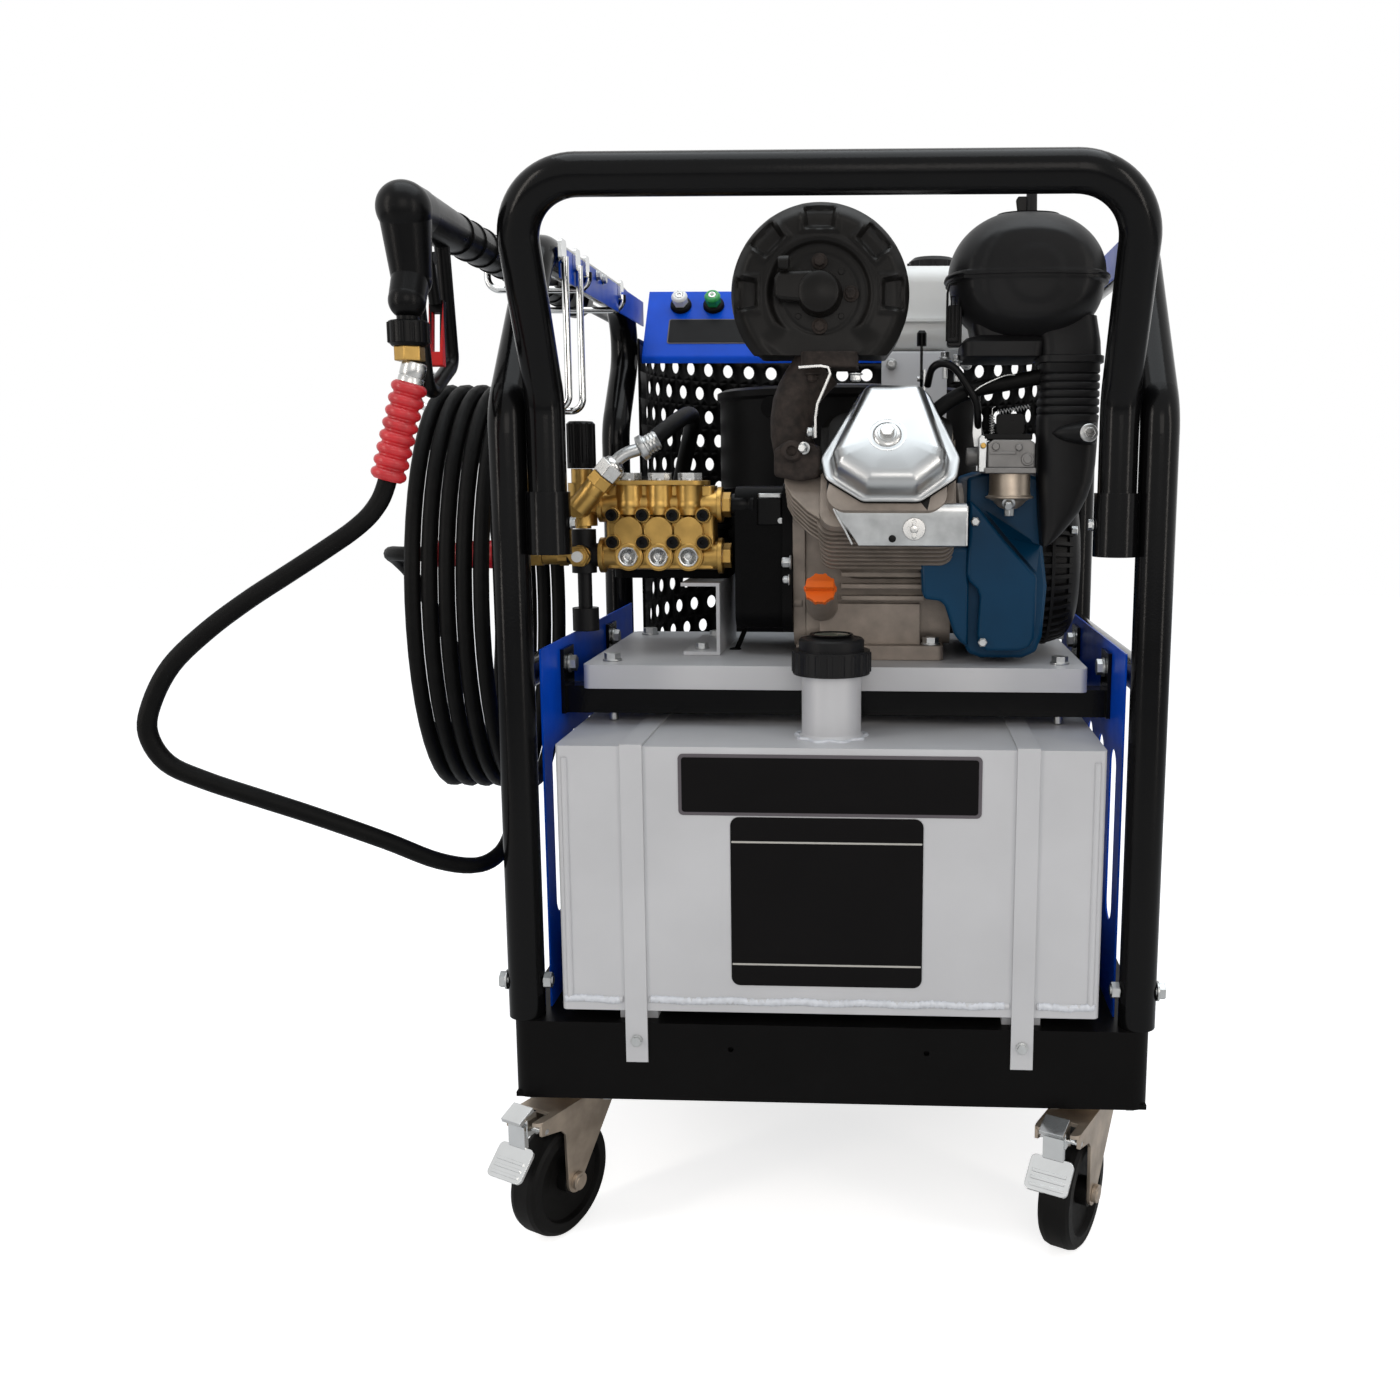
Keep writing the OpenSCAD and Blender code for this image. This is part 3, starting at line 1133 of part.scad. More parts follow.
// Bright wire U that hangs from the top tube, runs outboard under the hank and turns up
// Foot pads of the wires lie on the strip
module hose_hooks() color([0.8, 0.81, 0.82]) {
  pipe([[hook_x, hook_y0, cage_top - 6], [hook_x, hook_y0, hook_z], [hook_reach, hook_y0, hook_z],
    [hook_reach, hook_y0, hook_z + 40], [hook_reach, hook_y0 + hook_gap, hook_z + 40],
    [hook_reach, hook_y0 + hook_gap, hook_z], [hook_x, hook_y0 + hook_gap, hook_z],
    [hook_x, hook_y0 + hook_gap, cage_top - 6]], wire_d, 14);
  for (y = [hook_y0, hook_y0 + hook_gap]) translate([pad_x, y, cage_top]) rotate([0, 90, 0])
    slab(24, 22, 4, 5);
  // Two rests for the lance
  for (y = rests_y) pipe([[hook_x, y, cage_top - 6], [hook_x, y, rest_z], [-gun_x - 34, y, rest_z],
    [-gun_x - 34, y, rest_z + 34]], wire_d, 14);
  for (y = rests_y) translate([pad_x, y, cage_top]) rotate([0, 90, 0]) slab(24, 18, 4, 5);
}

rests_y = [front_up_y + 262, front_up_y + 460];
rest_z = gun_z - grip_d / 2 - gap - wire_r;
gun_back = front_up_y - 118;
gun_front = front_up_y + 30;
gun_in_y = gun_back + 22;
gun_in_z = gun_z - 100;
grip_end = rests_y[1] + 60;
lance_end = rear_up_y + rear_rake + 200;

// Tapered round limb with a full end at b
module limb(a, b, d1, d2) {
  multmatrix(along(a, unit(b - a))) {
    cylinder(d1 = d1, d2 = d2, h = norm(b - a));
    translate([0, 0, norm(b - a)]) sphere(d = d2 + 0.4);
  }
}

// Gun: barrel head, waisted handle and closed trigger guard
module gun_body() color([0.03, 0.03, 0.03]) translate([-gun_x, 0, 0]) difference() {
  union() {
    translate([0, gun_front, gun_z]) rotate([90, 0, 0]) cylinder(d1 = grip_d - 2, d2 = 45, h = 96);
    limb([0, gun_front - 94, gun_z], [0, gun_back + 25, gun_z - 2], 46, 49);
    limb([0, gun_back + 27, gun_z - 4], [0, gun_back + 36, gun_z - 62], 47, 36);
    limb([0, gun_back + 35, gun_z - 58], [0, gun_back + 22, gun_z - 83], 34, 33);
    pipe([[0, gun_front - 26, gun_z - 10], [0, gun_front - 10, gun_z - 130], [0, gun_back + 64, gun_z - 166],
      [0, gun_back + 46, gun_z - 72]], 15, 16);
    translate([0, gun_in_y, gun_in_z]) cylinder(d = 20, h = 20);
  }
  translate([-40, gun_back + 62, gun_z - 96]) cube([80, 26, 66]);
}

// Bent lever in the guard, hinged under the barrel
module gun_trigger() color([0.75, 0.06, 0.05]) translate([-gun_x, trigger_y, trigger_z]) difference() {
  union() {
    rotate([0, 90, 0]) cylinder(d = 12, h = 12, center = true);
    rod([0, 0, -2], [0, 12, -40], 11);
    translate([-7, 6, -98]) rotate([-8, 0, 0]) cube([14, 9, 62]);
  }
  translate([-4, -2, -84]) rotate([-8, 0, 0]) cube([8, 20, 38]);
}

trigger_y = gun_back + 84;
trigger_z = gun_z - 36;

// Ribbed insulating sleeve, the screw collar and the steel lance with its nozzle socket
module lance() color([0.12, 0.12, 0.12]) translate([-gun_x, gun_front + gap, gun_z]) rotate([-90, 0, 0]) {
  cylinder(d = grip_d - 3, h = grip_end - gun_front);
  for (i = [0:11]) translate([0, 0, 12 + i * (grip_end - gun_front - 30) / 11]) cylinder(d = grip_d, h = 5);
  translate([0, 0, grip_end - gun_front]) cylinder(d1 = grip_d, d2 = 50, h = 8);
  translate([0, 0, grip_end - gun_front + 8]) cylinder(d = 50, h = 26);
  translate([0, 0, grip_end - gun_front + 34]) cylinder(d1 = 46, d2 = 24, h = 14);
  cylinder(d = lance_d, h = lance_end - gun_front);
  translate([0, 0, lance_end - gun_front]) cylinder(d = 26, h = 30);
}

// ---- Pressure hose ----

// Hose from the gun, in millimetres: out of the sleeve, round its free bow and in to the hank
lead_route = [
  [-379, -537, 904], [-390.7, -539.7, 860.7], [-404.5, -542.9, 809.6], [-415, -547.5, 787.2],
  [-431.5, -554, 769.6], [-458, -563, 750], [-488, -574, 729], [-521, -586, 706], [-553, -599, 680],
  [-582, -610, 650], [-600, -615, 616],
  [-606, -614, 588], [-594, -608, 560], [-566, -596, 541], [-526, -577, 520], [-484, -552, 496],
  [-434, -514, 462], [-396, -475, 430], [-368, -435, 414], [-354, -395, 419], [-352, -352, 440],
  [-352, -311, 459], [-352, -279, 466], [-352, -260.6, 466]];

// Hose from the hank's outer turn round to its sleeve on the pump
tail_route = [
  [-443, -257, 466], [-443, -239, 466], [-445, -205, 473], [-452, -164, 497], [-464, -140, 532], [-480, -130, 576],
  [-498, -132, 622], [-514, -145, 664], [-525, -168, 698], [-530, -198, 718], [-524, -231, 726],
  [-502, -256, 727.5], [-478, -265.3, 728], [-460, -267, 728], [-412, -267, 728], [-364, -267, 728]];

hank_a = 141;
hank_low = 466;
hank_b = (hank_top - hose_r - hank_low) / 2;
hank_pitch = (443 - 352) / 5;
hank_x0 = -352;
loop_rings = 24;

function catmull(a, b, c, d, t) = 0.5 * (2 * b + (c - a) * t + (2 * a - 5 * b + 4 * c - d) * t * t
  + (3 * b - a - 3 * c + d) * t * t * t);
// Smooth curve through the points p with n steps between neighbours
function curve(p, n) = let (m = len(p) - 1) [
  for (i = [0:m - 1], k = [0:n - 1]) catmull(p[max(0, i - 1)], p[i], p[i + 1], p[min(m, i + 2)], k / n),
  p[m]];
function steps(p) = [for (i = [0:len(p) - 1]) unit(p[min(i + 1, len(p) - 1)] - p[max(i - 1, 0)])];
// Sideways vector carried along the tangents t without twist
function carried(t) = [for (i = 0, u = side_of(t[0]); i < len(t);
  i = i + 1, u = i < len(t) ? unit(u - (u * t[i]) * t[i]) : u) u];

// Round tube of n sides swept along the points p
module sweep(p, d, n) {
  t = steps(p);
  u = carried(t);
  last = len(p) - 1;
  rings = [for (i = [0:last]) for (k = [0:n - 1])
    p[i] + (u[i] * cos(k * 360 / n) + cross(t[i], u[i]) * sin(k * 360 / n)) * d / 2];
  walls = [for (i = [0:last - 1], k = [0:n - 1]) let (a = i * n + k, b = i * n + (k + 1) % n)
    each [[a, a + n, b], [b, a + n, b + n]]];
  ends = [for (k = [1:n - 2]) each [[0, k, k + 1], [last * n, last * n + k + 1, last * n + k]]];
  polyhedron(rings, concat(walls, ends));
}

hank_points = [for (i = [0:loop_rings * hank_loops]) let (a = 360 * i / loop_rings)
  [hank_x0 - hank_pitch * i / loop_rings, hank_y + hank_a * sin(a),
    (hank_top - hose_r + hank_low) / 2 - hank_b * cos(a)]];
// Least gap between one turn and the next
hank_gap = min([for (i = [0:len(hank_points) - 1]) for (j = [i + loop_rings / 2:1:len(hank_points) - 1])
  norm(hank_points[i] - hank_points[j])]) - hose_d;
echo(str("hank least gap ", hank_gap, " mm"));  // hose_hank

module hose_lead() color([0.03, 0.03, 0.03]) sweep(curve(lead_route, 2), hose_d, 10);
module hose_hank() color([0.03, 0.03, 0.03]) sweep(hank_points, hose_d, 6);
module hose_tail() color([0.03, 0.03, 0.03]) sweep(curve(tail_route, 2), hose_d, 10);

sleeve_l = 92;
sleeve_ribs = 8;

// Ribbed bend sleeve over the hose, from z = 0 up
module sleeve() rotate_extrude() polygon(concat(
  [[hose_r + gap, 0]],
  [for (i = [0:sleeve_ribs - 1]) each [[hose_r + 4, i * sleeve_l / sleeve_ribs],
    [hose_r + 7.5, (i + 0.35) * sleeve_l / sleeve_ribs], [hose_r + 7.5, (i + 0.65) * sleeve_l / sleeve_ribs]]],
  [[hose_r + 4, sleeve_l], [hose_r + gap, sleeve_l]]));

// Screw collar, nut and ferrule at each end of the hose, and both sleeves
module hose_fittings() color([0.75, 0.1, 0.08]) {
  translate([-gun_x, gun_in_y, gun_in_z]) mirror([0, 0, 1]) {
    translate([0, 0, gap]) cylinder(d = 38, h = 22);
    translate([0, 0, 22]) cylinder(d = 27, h = 20, $fn = 6);
  }
  sleeve_from(lead_route[0], lead_route[1]);
  sleeve_from(tail_route[len(tail_route) - 1], tail_route[len(tail_route) - 2]);
  translate([tee_left - gap, unl_y, inlet_z]) rotate([0, -90, 0]) {
    cylinder(d = 27, h = 18, $fn = 6);
    translate([0, 0, 17]) cylinder(d = 19, h = tee_left - 17 - 2 * gap - tail_route[len(tail_route) - 1].x);
  }
}

// Ferrule and sleeve whose axis starts at a and runs towards b
module sleeve_from(a, b) multmatrix(along(a, unit(b - a))) translate([0, 0, 2]) sleeve();

// ---- Castors ----

axle_z = wheel_d / 2;
race_d = 56;
race_h = 12;
crown_t = 4;
crown_top = castor_h - castor_plate_t - race_h - gap;
king_d = 14;
leg_t = 3.5;
leg_in = wheel_w / 2 + 4;
beak_s = castor_trail + 56;
pedal_s = castor_trail + 44;
pedal_z = crown_top - crown_t - 9;

// Bolt-on plates with bearing races and kingpins in front, and the rigid forks behind
module castor_brackets() color([0.72, 0.72, 0.73]) {
  for (x = [-1, 1]) {
    translate([x * castor_x, -castor_y, 0]) {
      castor_plate();
      translate([0, 0, crown_top + gap]) cylinder(d = race_d, h = race_h + 0.5);
      translate([0, 0, crown_top - crown_t - gap - 7]) cylinder(d = king_d, h = crown_t + 8 + 2 * gap);
      translate([0, 0, crown_top - crown_t - gap - 7]) cylinder(d = 23, h = 7, $fn = 6);
    }
    translate([x * castor_x, castor_y, 0]) {
      castor_plate();
      difference() {
        for (m = [0, 1]) mirror([m, 0, 0]) translate([leg_in, 0, 0]) rotate([90, 0, 90])
          linear_extrude(leg_t) difference() {
            soft_poly([[0, axle_z], [34, castor_h - castor_plate_t - 13],
              [-34, castor_h - castor_plate_t - 13]], 13);
            circle_at_axle(0);
          }
        translate([-90, -90, castor_h - castor_plate_t + 1]) cube(180);
      }
      axle();
    }
  }
}

module circle_at_axle(s) translate([s, axle_z]) circle(d = axle_d + 2 * run_gap);

module castor_plate() translate([0, 0, castor_h - castor_plate_t]) difference() {
  slab(castor_plate_w, castor_plate_w, castor_plate_t, 9);
  at_castor_holes() translate([0, 0, -cut]) cylinder(d = 9, h = castor_plate_t + 2 * cut);
}

// Axle bolt with its head and nut outside the fork legs
module axle() translate([0, 0, axle_z]) rotate([0, 90, 0]) {
  cylinder(d = axle_d, h = 2 * (leg_in + leg_t + 6), center = true);
  translate([0, 0, leg_in + leg_t + gap]) cylinder(d = 19, h = 5);
  mirror([0, 0, 1]) translate([0, 0, leg_in + leg_t + gap]) cylinder(d = 19, h = 7, $fn = 6);
}

// Places a front castor's pieces: kingpin on z, wheel ahead along -y
module at_front(side) {
  translate([side * castor_x, -castor_y, 0]) rotate(-castor_turn) children();
}

// Pressed fork with a beaked crown and two tapering legs
module front_fork() {
  difference() {
    union() {
      translate([0, -(beak_s - 30) / 2, crown_top - crown_t])
        slab(2 * (leg_in + leg_t), beak_s + 30, crown_t, 8);
      for (m = [0, 1]) mirror([m, 0, 0]) translate([leg_in + leg_t, 0, 0]) rotate([90, 0, -90])
        linear_extrude(leg_t) difference() {
          union() {
            polygon([[-26, crown_top - 1], [-26, crown_top - 20], [castor_trail - 12, axle_z + 2],
              [castor_trail + 13, axle_z], [castor_trail + 15, crown_top - 30],
              [castor_trail + 22, crown_top - 22], [beak_s - 4, crown_top - 15],
              [beak_s - 4, crown_top - 1]]);
            translate([castor_trail, axle_z]) circle(r = 13);
          }
          circle_at_axle(castor_trail);
          translate([pedal_s, pedal_z]) circle(d = 6 + 2 * run_gap);
        }
    }
    translate([0, 0, crown_top - 2 * crown_t]) cylinder(d = king_d + 2 * run_gap, h = 3 * crown_t);
    translate([-15, -beak_s - 20, crown_top - 2 * crown_t]) cube([30, 46, 3 * crown_t]);
  }
  translate([0, -castor_trail, 0]) axle();
}

module fork_front_left() color([0.72, 0.68, 0.62]) at_front(-1) front_fork();
module fork_front_right() color([0.72, 0.68, 0.62]) at_front(1) front_fork();

// Solid rubber wheel with a dished web and a hub that turns on the axle
module wheel() translate([0, 0, axle_z]) rotate([0, 90, 0]) rotate_extrude() {
  hub = axle_d / 2 + run_gap;
  polygon([[hub, -leg_in + gap], [hub + 9, -leg_in + gap], [hub + 9, -8], [26, -8], [wheel_d / 2 - 17, -11],
    [wheel_d / 2 - 15, -wheel_w / 2], [wheel_d / 2 - 5, -wheel_w / 2], [wheel_d / 2 - 1.5, -wheel_w / 2 + 3],
    [wheel_d / 2, -wheel_w / 2 + 8], [wheel_d / 2, wheel_w / 2 - 8], [wheel_d / 2 - 1.5, wheel_w / 2 - 3],
    [wheel_d / 2 - 5, wheel_w / 2], [wheel_d / 2 - 15, wheel_w / 2], [wheel_d / 2 - 17, 11], [26, 8],
    [hub + 9, 8], [hub + 9, leg_in - gap], [hub, leg_in - gap]]);
}

module wheel_front_left() color([0.04, 0.04, 0.04]) at_front(-1) translate([0, -castor_trail, 0]) wheel();
module wheel_front_right() color([0.04, 0.04, 0.04]) at_front(1) translate([0, -castor_trail, 0]) wheel();
module wheel_rear_left() color([0.04, 0.04, 0.04]) translate([-castor_x, castor_y, 0]) wheel();
module wheel_rear_right() color([0.04, 0.04, 0.04]) translate([castor_x, castor_y, 0]) wheel();

// Chromed brake pedal: a pivot bar, a neck through the crown and a ribbed foot plate
module brake_pedal() translate([0, -pedal_s, pedal_z]) {
  rotate([0, 90, 0]) cylinder(d = 6, h = 2 * (leg_in + leg_t - gap), center = true);
  rotate([0, 90, 0]) cylinder(d = 10, h = 24, center = true);
  translate([-12, -16, -2]) cube([24, 14, 24]);
  translate([-13, -26, 14]) rotate([24, 0, 0]) cube([26, 22, 5]);
  translate([-11, -20, -14]) cube([22, 6, 24]);
  translate([0, -14, -14]) rotate([46, 0, 0]) {
    translate([0, -20, 0]) slab(46, 36, 3.5, 6);
    for (i = [0:2]) translate([-18, -34 + i * 7, 3]) cube([36, 3, 2]);
  }
}

module pedal_front_left() color([0.8, 0.8, 0.82]) at_front(-1) brake_pedal();
module pedal_front_right() color([0.8, 0.8, 0.82]) at_front(1) brake_pedal();

// ---- Bolts ----

// Every hex bolt and nut that shows on the frame, the tank straps, the plate and the engine feet
module hex_bolts() color([0.75, 0.76, 0.77]) {
  for (y = [front_up_y, rear_up_y]) both_sides() translate([-cage_x, y, foot_bolt_z]) {
    translate([-tube_r - gap, 0, 0]) rotate([0, -90, 0]) bolt(bolt_d, tube_d + 10);
    translate([tube_r + gap, 0, 0]) rotate([0, 90, 0]) difference() {
      hex_nut(bolt_d);
      translate([0, 0, -cut]) cylinder(d = bolt_d + 2 * gap, h = bolt_d + 2 * cut);
    }
  }
  both_sides() for (y = side_bolts_y) translate([-panel_x + panel_sheet + gap, y, cage_top])
    rotate([0, 90, 0]) bolt(6, 30);
  both_sides() translate([-handle_x + socket_d / 2 + gap, front_up_y, socket_z + socket_h / 2])
    rotate([0, 90, 0]) bolt(6, 8);
  for (x = [-1, 1]) translate([x * strap_gap / 2, front_y - strap_t - 2 * gap, strap_bolt_z])
    rotate([90, 0, 0]) bolt(6, 14);
  for (x = [-1, 1], y = damper_ys) translate([x * (tab_x - tab_t - gap), y, rail_z])
    rotate([0, -x * 90, 0]) bolt(bolt_d, 24);
  at_dampers() translate([0, 0, plate_top + gap]) bolt(bolt_d, 66);
  at_foot_bolts() translate([0, 0, 16 + 2 * gap]) bolt(bolt_d, 34);
  at_bracket_bolts() translate([0, 0, 4 + 2 * gap]) bolt(8, 22);
  for (x = [-1, 1], y = [-1, 1]) translate([x * castor_x, y * castor_y, castor_h - castor_plate_t - gap])
    at_castor_holes() rotate([180, 0, 0]) bolt(8, 18);
}

base_frame();
side_frame_left();
side_frame_right();
cross_bars();
handle_hoop();
hex_bolts();
side_panels();
diesel_tank();
tank_straps();
filler_cap();
engine_plate();
rubber_mounts();
crankcase();
rocker_cover();
engine_brackets();
exhaust_elbow();
muffler();
air_cleaner_case();
air_cleaner_cover();
carburettor();
fan_shroud();
recoil_cover();
recoil_grip();
flywheel();
fuel_tank();
fuel_cap();
dipstick();
throttle_lever();
pump_gearbox();
pump_manifold();
pump_plugs();
unloader_valve();
unloader_knob();
inlet_tee();
pump_bracket();
outlet_pipe();
boiler();
rear_guard();
nozzle_panel();
nozzle_white();
nozzle_green();
nozzle_yellow();
nozzle_red();
hose_hooks();
gun_body();
gun_trigger();
lance();
hose_lead();
hose_hank();
hose_tail();
hose_fittings();
castor_brackets();
fork_front_left();
fork_front_right();
wheel_front_left();
wheel_front_right();
wheel_rear_left();
wheel_rear_right();
pedal_front_left();
pedal_front_right();
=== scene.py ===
# %% [markdown]
# # A hot water pressure washer, dressed
# The hard parts of this machine come ready made from CAD: bent tube, sheet metal, castings and
# wheels. Blender adds what CAD leaves plain: the hose as one long line, moulded and cast surfaces,
# small fittings, and a finish for every piece. Everything is in metres, +X right, +Y to the rear.

# %% Load the frame
import math
import random

import bmesh
import bpy
from mathutils import Matrix, Vector


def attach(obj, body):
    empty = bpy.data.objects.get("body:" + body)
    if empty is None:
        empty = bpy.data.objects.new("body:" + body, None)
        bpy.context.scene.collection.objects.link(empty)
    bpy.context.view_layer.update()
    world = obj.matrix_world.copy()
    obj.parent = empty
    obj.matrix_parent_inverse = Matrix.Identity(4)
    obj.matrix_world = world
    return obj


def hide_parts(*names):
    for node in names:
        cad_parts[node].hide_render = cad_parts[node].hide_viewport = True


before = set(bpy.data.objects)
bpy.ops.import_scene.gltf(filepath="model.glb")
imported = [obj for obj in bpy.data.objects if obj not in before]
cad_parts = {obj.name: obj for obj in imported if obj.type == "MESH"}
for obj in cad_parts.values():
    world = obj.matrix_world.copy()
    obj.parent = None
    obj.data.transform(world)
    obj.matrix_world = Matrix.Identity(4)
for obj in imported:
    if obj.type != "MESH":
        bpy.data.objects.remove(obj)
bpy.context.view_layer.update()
MM = 0.001

# %% [markdown]
# ## Camera
# The viewer stands in front, a little above the middle, and looks slightly down. A camera in Blender
# looks along its own -Z, so its matrix is built from three directions: right, up and backward. The
# lens and its shift are worked out from a focal length and a middle given in points of a square image.

# %% Camera
IMAGE_SIDE, FOCAL_LENGTH, MIDDLE = 1400, 1300, (833.58, 673.66)
EYE = (0.0582, -1.7345, 0.8231)
RIGHT = Vector((0.99911, 0.042151, 0.001802))
DOWN = Vector((0.008283, -0.154095, -0.988021))
FORWARD = Vector((-0.041368, 0.987157, -0.154307))
camera_data = bpy.data.cameras.new("camera")
camera_data.sensor_width = 36
camera_data.lens = camera_data.sensor_width * FOCAL_LENGTH / IMAGE_SIDE
camera_data.shift_x = (IMAGE_SIDE / 2 - MIDDLE[0]) / IMAGE_SIDE
camera_data.shift_y = (MIDDLE[1] - IMAGE_SIDE / 2) / IMAGE_SIDE
camera = bpy.data.objects.new("camera", camera_data)
turn = Matrix((RIGHT, -DOWN, -FORWARD)).transposed()
camera.matrix_world = Matrix.Translation(EYE) @ turn.to_4x4()
bpy.context.scene.collection.objects.link(camera)
bpy.context.scene.camera = camera
print("camera lens", round(camera_data.lens, 2), "mm")

# %% [markdown]
# ## Light and floor
# Glossy black tube only reads as round when something bright is mirrored in it. Two long soft boxes
# do that from the sides, one overhead and one in front fill, and the world is white where a camera
# ray, a reflection or a refraction meets it. The floor is diffuse and glows for the camera alone: it
# looks white, sheds no light on the machine, and keeps the machine's own shadow.

# %% Lights
WARM, COOL = (1, 0.93, 0.86), (0.90, 0.96, 1)


def soft_box(name, at, aim, wide, high, power, tint):
    """Rectangular lamp in metres and watts that points at aim."""
    data = bpy.data.lights.new(name, "AREA")
    data.shape = "RECTANGLE"
    data.size, data.size_y = wide, high
    data.energy = power
    data.color = tint
    lamp = bpy.data.objects.new(name, data)
    lamp.location = at
    lamp.rotation_euler = (Vector(aim) - Vector(at)).to_track_quat("-Z", "Y").to_euler()
    bpy.context.scene.collection.objects.link(lamp)
    return lamp


soft_box("overhead", (0.1, -0.4, 3.1), (0, 0, 0.5), 2.6, 2.0, 44, COOL)
soft_box("left_box", (-2.3, -2.0, 1.4), (0, -0.2, 0.7), 0.35, 2.4, 22, WARM)
soft_box("right_box", (2.3, -2.0, 1.3), (0, -0.2, 0.7), 0.35, 2.4, 18, WARM)
soft_box("front_box", (0.5, -3.3, 1.7), (0, 0, 0.7), 1.4, 1.4, 16, (1, 0.93, 0.87))


def white_world(strength):
    """World that is plain white to see, and lights with the given strength."""
    world = bpy.data.worlds.new("studio")
    bpy.context.scene.world = world
    world.use_nodes = True
    tree = world.node_tree
    tree.nodes.clear()
    out = tree.nodes.new("ShaderNodeOutputWorld")
    mix = tree.nodes.new("ShaderNodeMixShader")
    seen = tree.nodes.new("ShaderNodeBackground")
    lit = tree.nodes.new("ShaderNodeBackground")
    rays = tree.nodes.new("ShaderNodeLightPath")
    first = tree.nodes.new("ShaderNodeMath")
    both = tree.nodes.new("ShaderNodeMath")
    first.operation = both.operation = "MAXIMUM"
    seen.inputs["Color"].default_value = (1, 1, 1, 1)
    lit.inputs["Color"].default_value = (0.93, 0.96, 1, 1)
    lit.inputs["Strength"].default_value = strength
    tree.links.new(rays.outputs["Is Camera Ray"], first.inputs[0])
    tree.links.new(rays.outputs["Is Glossy Ray"], first.inputs[1])
    tree.links.new(first.outputs[0], both.inputs[0])
    tree.links.new(rays.outputs["Is Transmission Ray"], both.inputs[1])
    tree.links.new(both.outputs[0], mix.inputs["Fac"])
    tree.links.new(lit.outputs[0], mix.inputs[1])
    tree.links.new(seen.outputs[0], mix.inputs[2])
    tree.links.new(mix.outputs[0], out.inputs["Surface"])


white_world(0.4)
bpy.context.scene.view_settings.view_transform = "Standard"

# %% Floor
FLOOR_GLOW = 0.7


def floor_finish():
    """Pale diffuse floor with a glow that only camera rays meet."""
    made = bpy.data.materials.new("pale_floor")
    made.use_nodes = True
    tree = made.node_tree
    tree.nodes.clear()
    out = tree.nodes.new("ShaderNodeOutputMaterial")
    add = tree.nodes.new("ShaderNodeAddShader")
    matt = tree.nodes.new("ShaderNodeBsdfDiffuse")
    glow = tree.nodes.new("ShaderNodeEmission")
    rays = tree.nodes.new("ShaderNodeLightPath")
    scaled = tree.nodes.new("ShaderNodeMath")
    scaled.operation = "MULTIPLY"
    scaled.inputs[1].default_value = FLOOR_GLOW
    matt.inputs["Color"].default_value = (0.9, 0.9, 0.9, 1)
    tree.links.new(rays.outputs["Is Camera Ray"], scaled.inputs[0])
    tree.links.new(scaled.outputs[0], glow.inputs["Strength"])
    tree.links.new(matt.outputs[0], add.inputs[0])
    tree.links.new(glow.outputs[0], add.inputs[1])
    tree.links.new(add.outputs[0], out.inputs["Surface"])
    return made


bpy.ops.mesh.primitive_plane_add(size=14)
floor = bpy.context.object
floor.name = "floor"
floor.data.materials.append(floor_finish())
print("floor finish:", floor.data.materials[0].name)

# %% [markdown]
# ## Finishes
# Each finish is a small node tree: a Principled shader, one noise that shifts the colour, one that
# shifts the roughness, and a fine one that becomes bump. The noises read object coordinates, which
# are in metres here, so a grain of 0.6 mm is 0.6 mm on every piece. A Bevel node rounds hard edges
# for the light only, which gives folded sheet and castings their thin bright edge.

# %% Finish maker
def finish(name, color, rough, metal=0.0, mottle=0.12, mottle_mm=60.0, grain=0.0, grain_mm=0.8,
           coat=0.0, edge_mm=0.8, specular=0.5, rough_shift=0.08):
    """Finish with a mottled colour and roughness, a fine grain and softened edges; sizes in mm."""
    made = bpy.data.materials.new(name)
    made.use_nodes = True
    tree = made.node_tree
    shader = tree.nodes["Principled BSDF"]
    shader.inputs["Metallic"].default_value = metal
    shader.inputs["Coat Weight"].default_value = coat
    shader.inputs["Coat Roughness"].default_value = 0.06
    shader.inputs["Specular IOR Level"].default_value = specular
    place = tree.nodes.new("ShaderNodeTexCoord")

    def noise(size_mm, detail):
        """Value of a noise whose cells are size_mm wide."""
        node = tree.nodes.new("ShaderNodeTexNoise")
        node.inputs["Scale"].default_value = 1000 / size_mm
        node.inputs["Detail"].default_value = detail
        tree.links.new(place.outputs["Object"], node.inputs["Vector"])
        return node.outputs["Fac"]

    cloud = noise(mottle_mm, 5)
    ramp = tree.nodes.new("ShaderNodeValToRGB")
    ramp.color_ramp.elements[0].position = 0.3
    ramp.color_ramp.elements[1].position = 0.7
    ramp.color_ramp.elements[0].color = [c * (1 - mottle) for c in color] + [1]
    ramp.color_ramp.elements[1].color = [min(1, c * (1 + mottle)) for c in color] + [1]
    tree.links.new(cloud, ramp.inputs["Fac"])
    tree.links.new(ramp.outputs["Color"], shader.inputs["Base Color"])
    spread = tree.nodes.new("ShaderNodeMapRange")
    spread.inputs["To Min"].default_value = max(0.02, rough - rough_shift)
    spread.inputs["To Max"].default_value = min(1, rough + rough_shift)
    tree.links.new(noise(mottle_mm * 0.45, 3), spread.inputs["Value"])
    tree.links.new(spread.outputs["Result"], shader.inputs["Roughness"])
    soft_edge = tree.nodes.new("ShaderNodeBevel")
    soft_edge.samples = 3
    soft_edge.inputs["Radius"].default_value = edge_mm * MM
    if grain:
        bump = tree.nodes.new("ShaderNodeBump")
        bump.inputs["Strength"].default_value = grain
        bump.inputs["Distance"].default_value = grain_mm * 0.3 * MM
        tree.links.new(noise(grain_mm, 2), bump.inputs["Height"])
        tree.links.new(soft_edge.outputs["Normal"], bump.inputs["Normal"])
        tree.links.new(bump.outputs["Normal"], shader.inputs["Normal"])
    else:
        tree.links.new(soft_edge.outputs["Normal"], shader.inputs["Normal"])
    return made


materials_before = len(bpy.data.materials)
print("materials before the finishes:", materials_before)

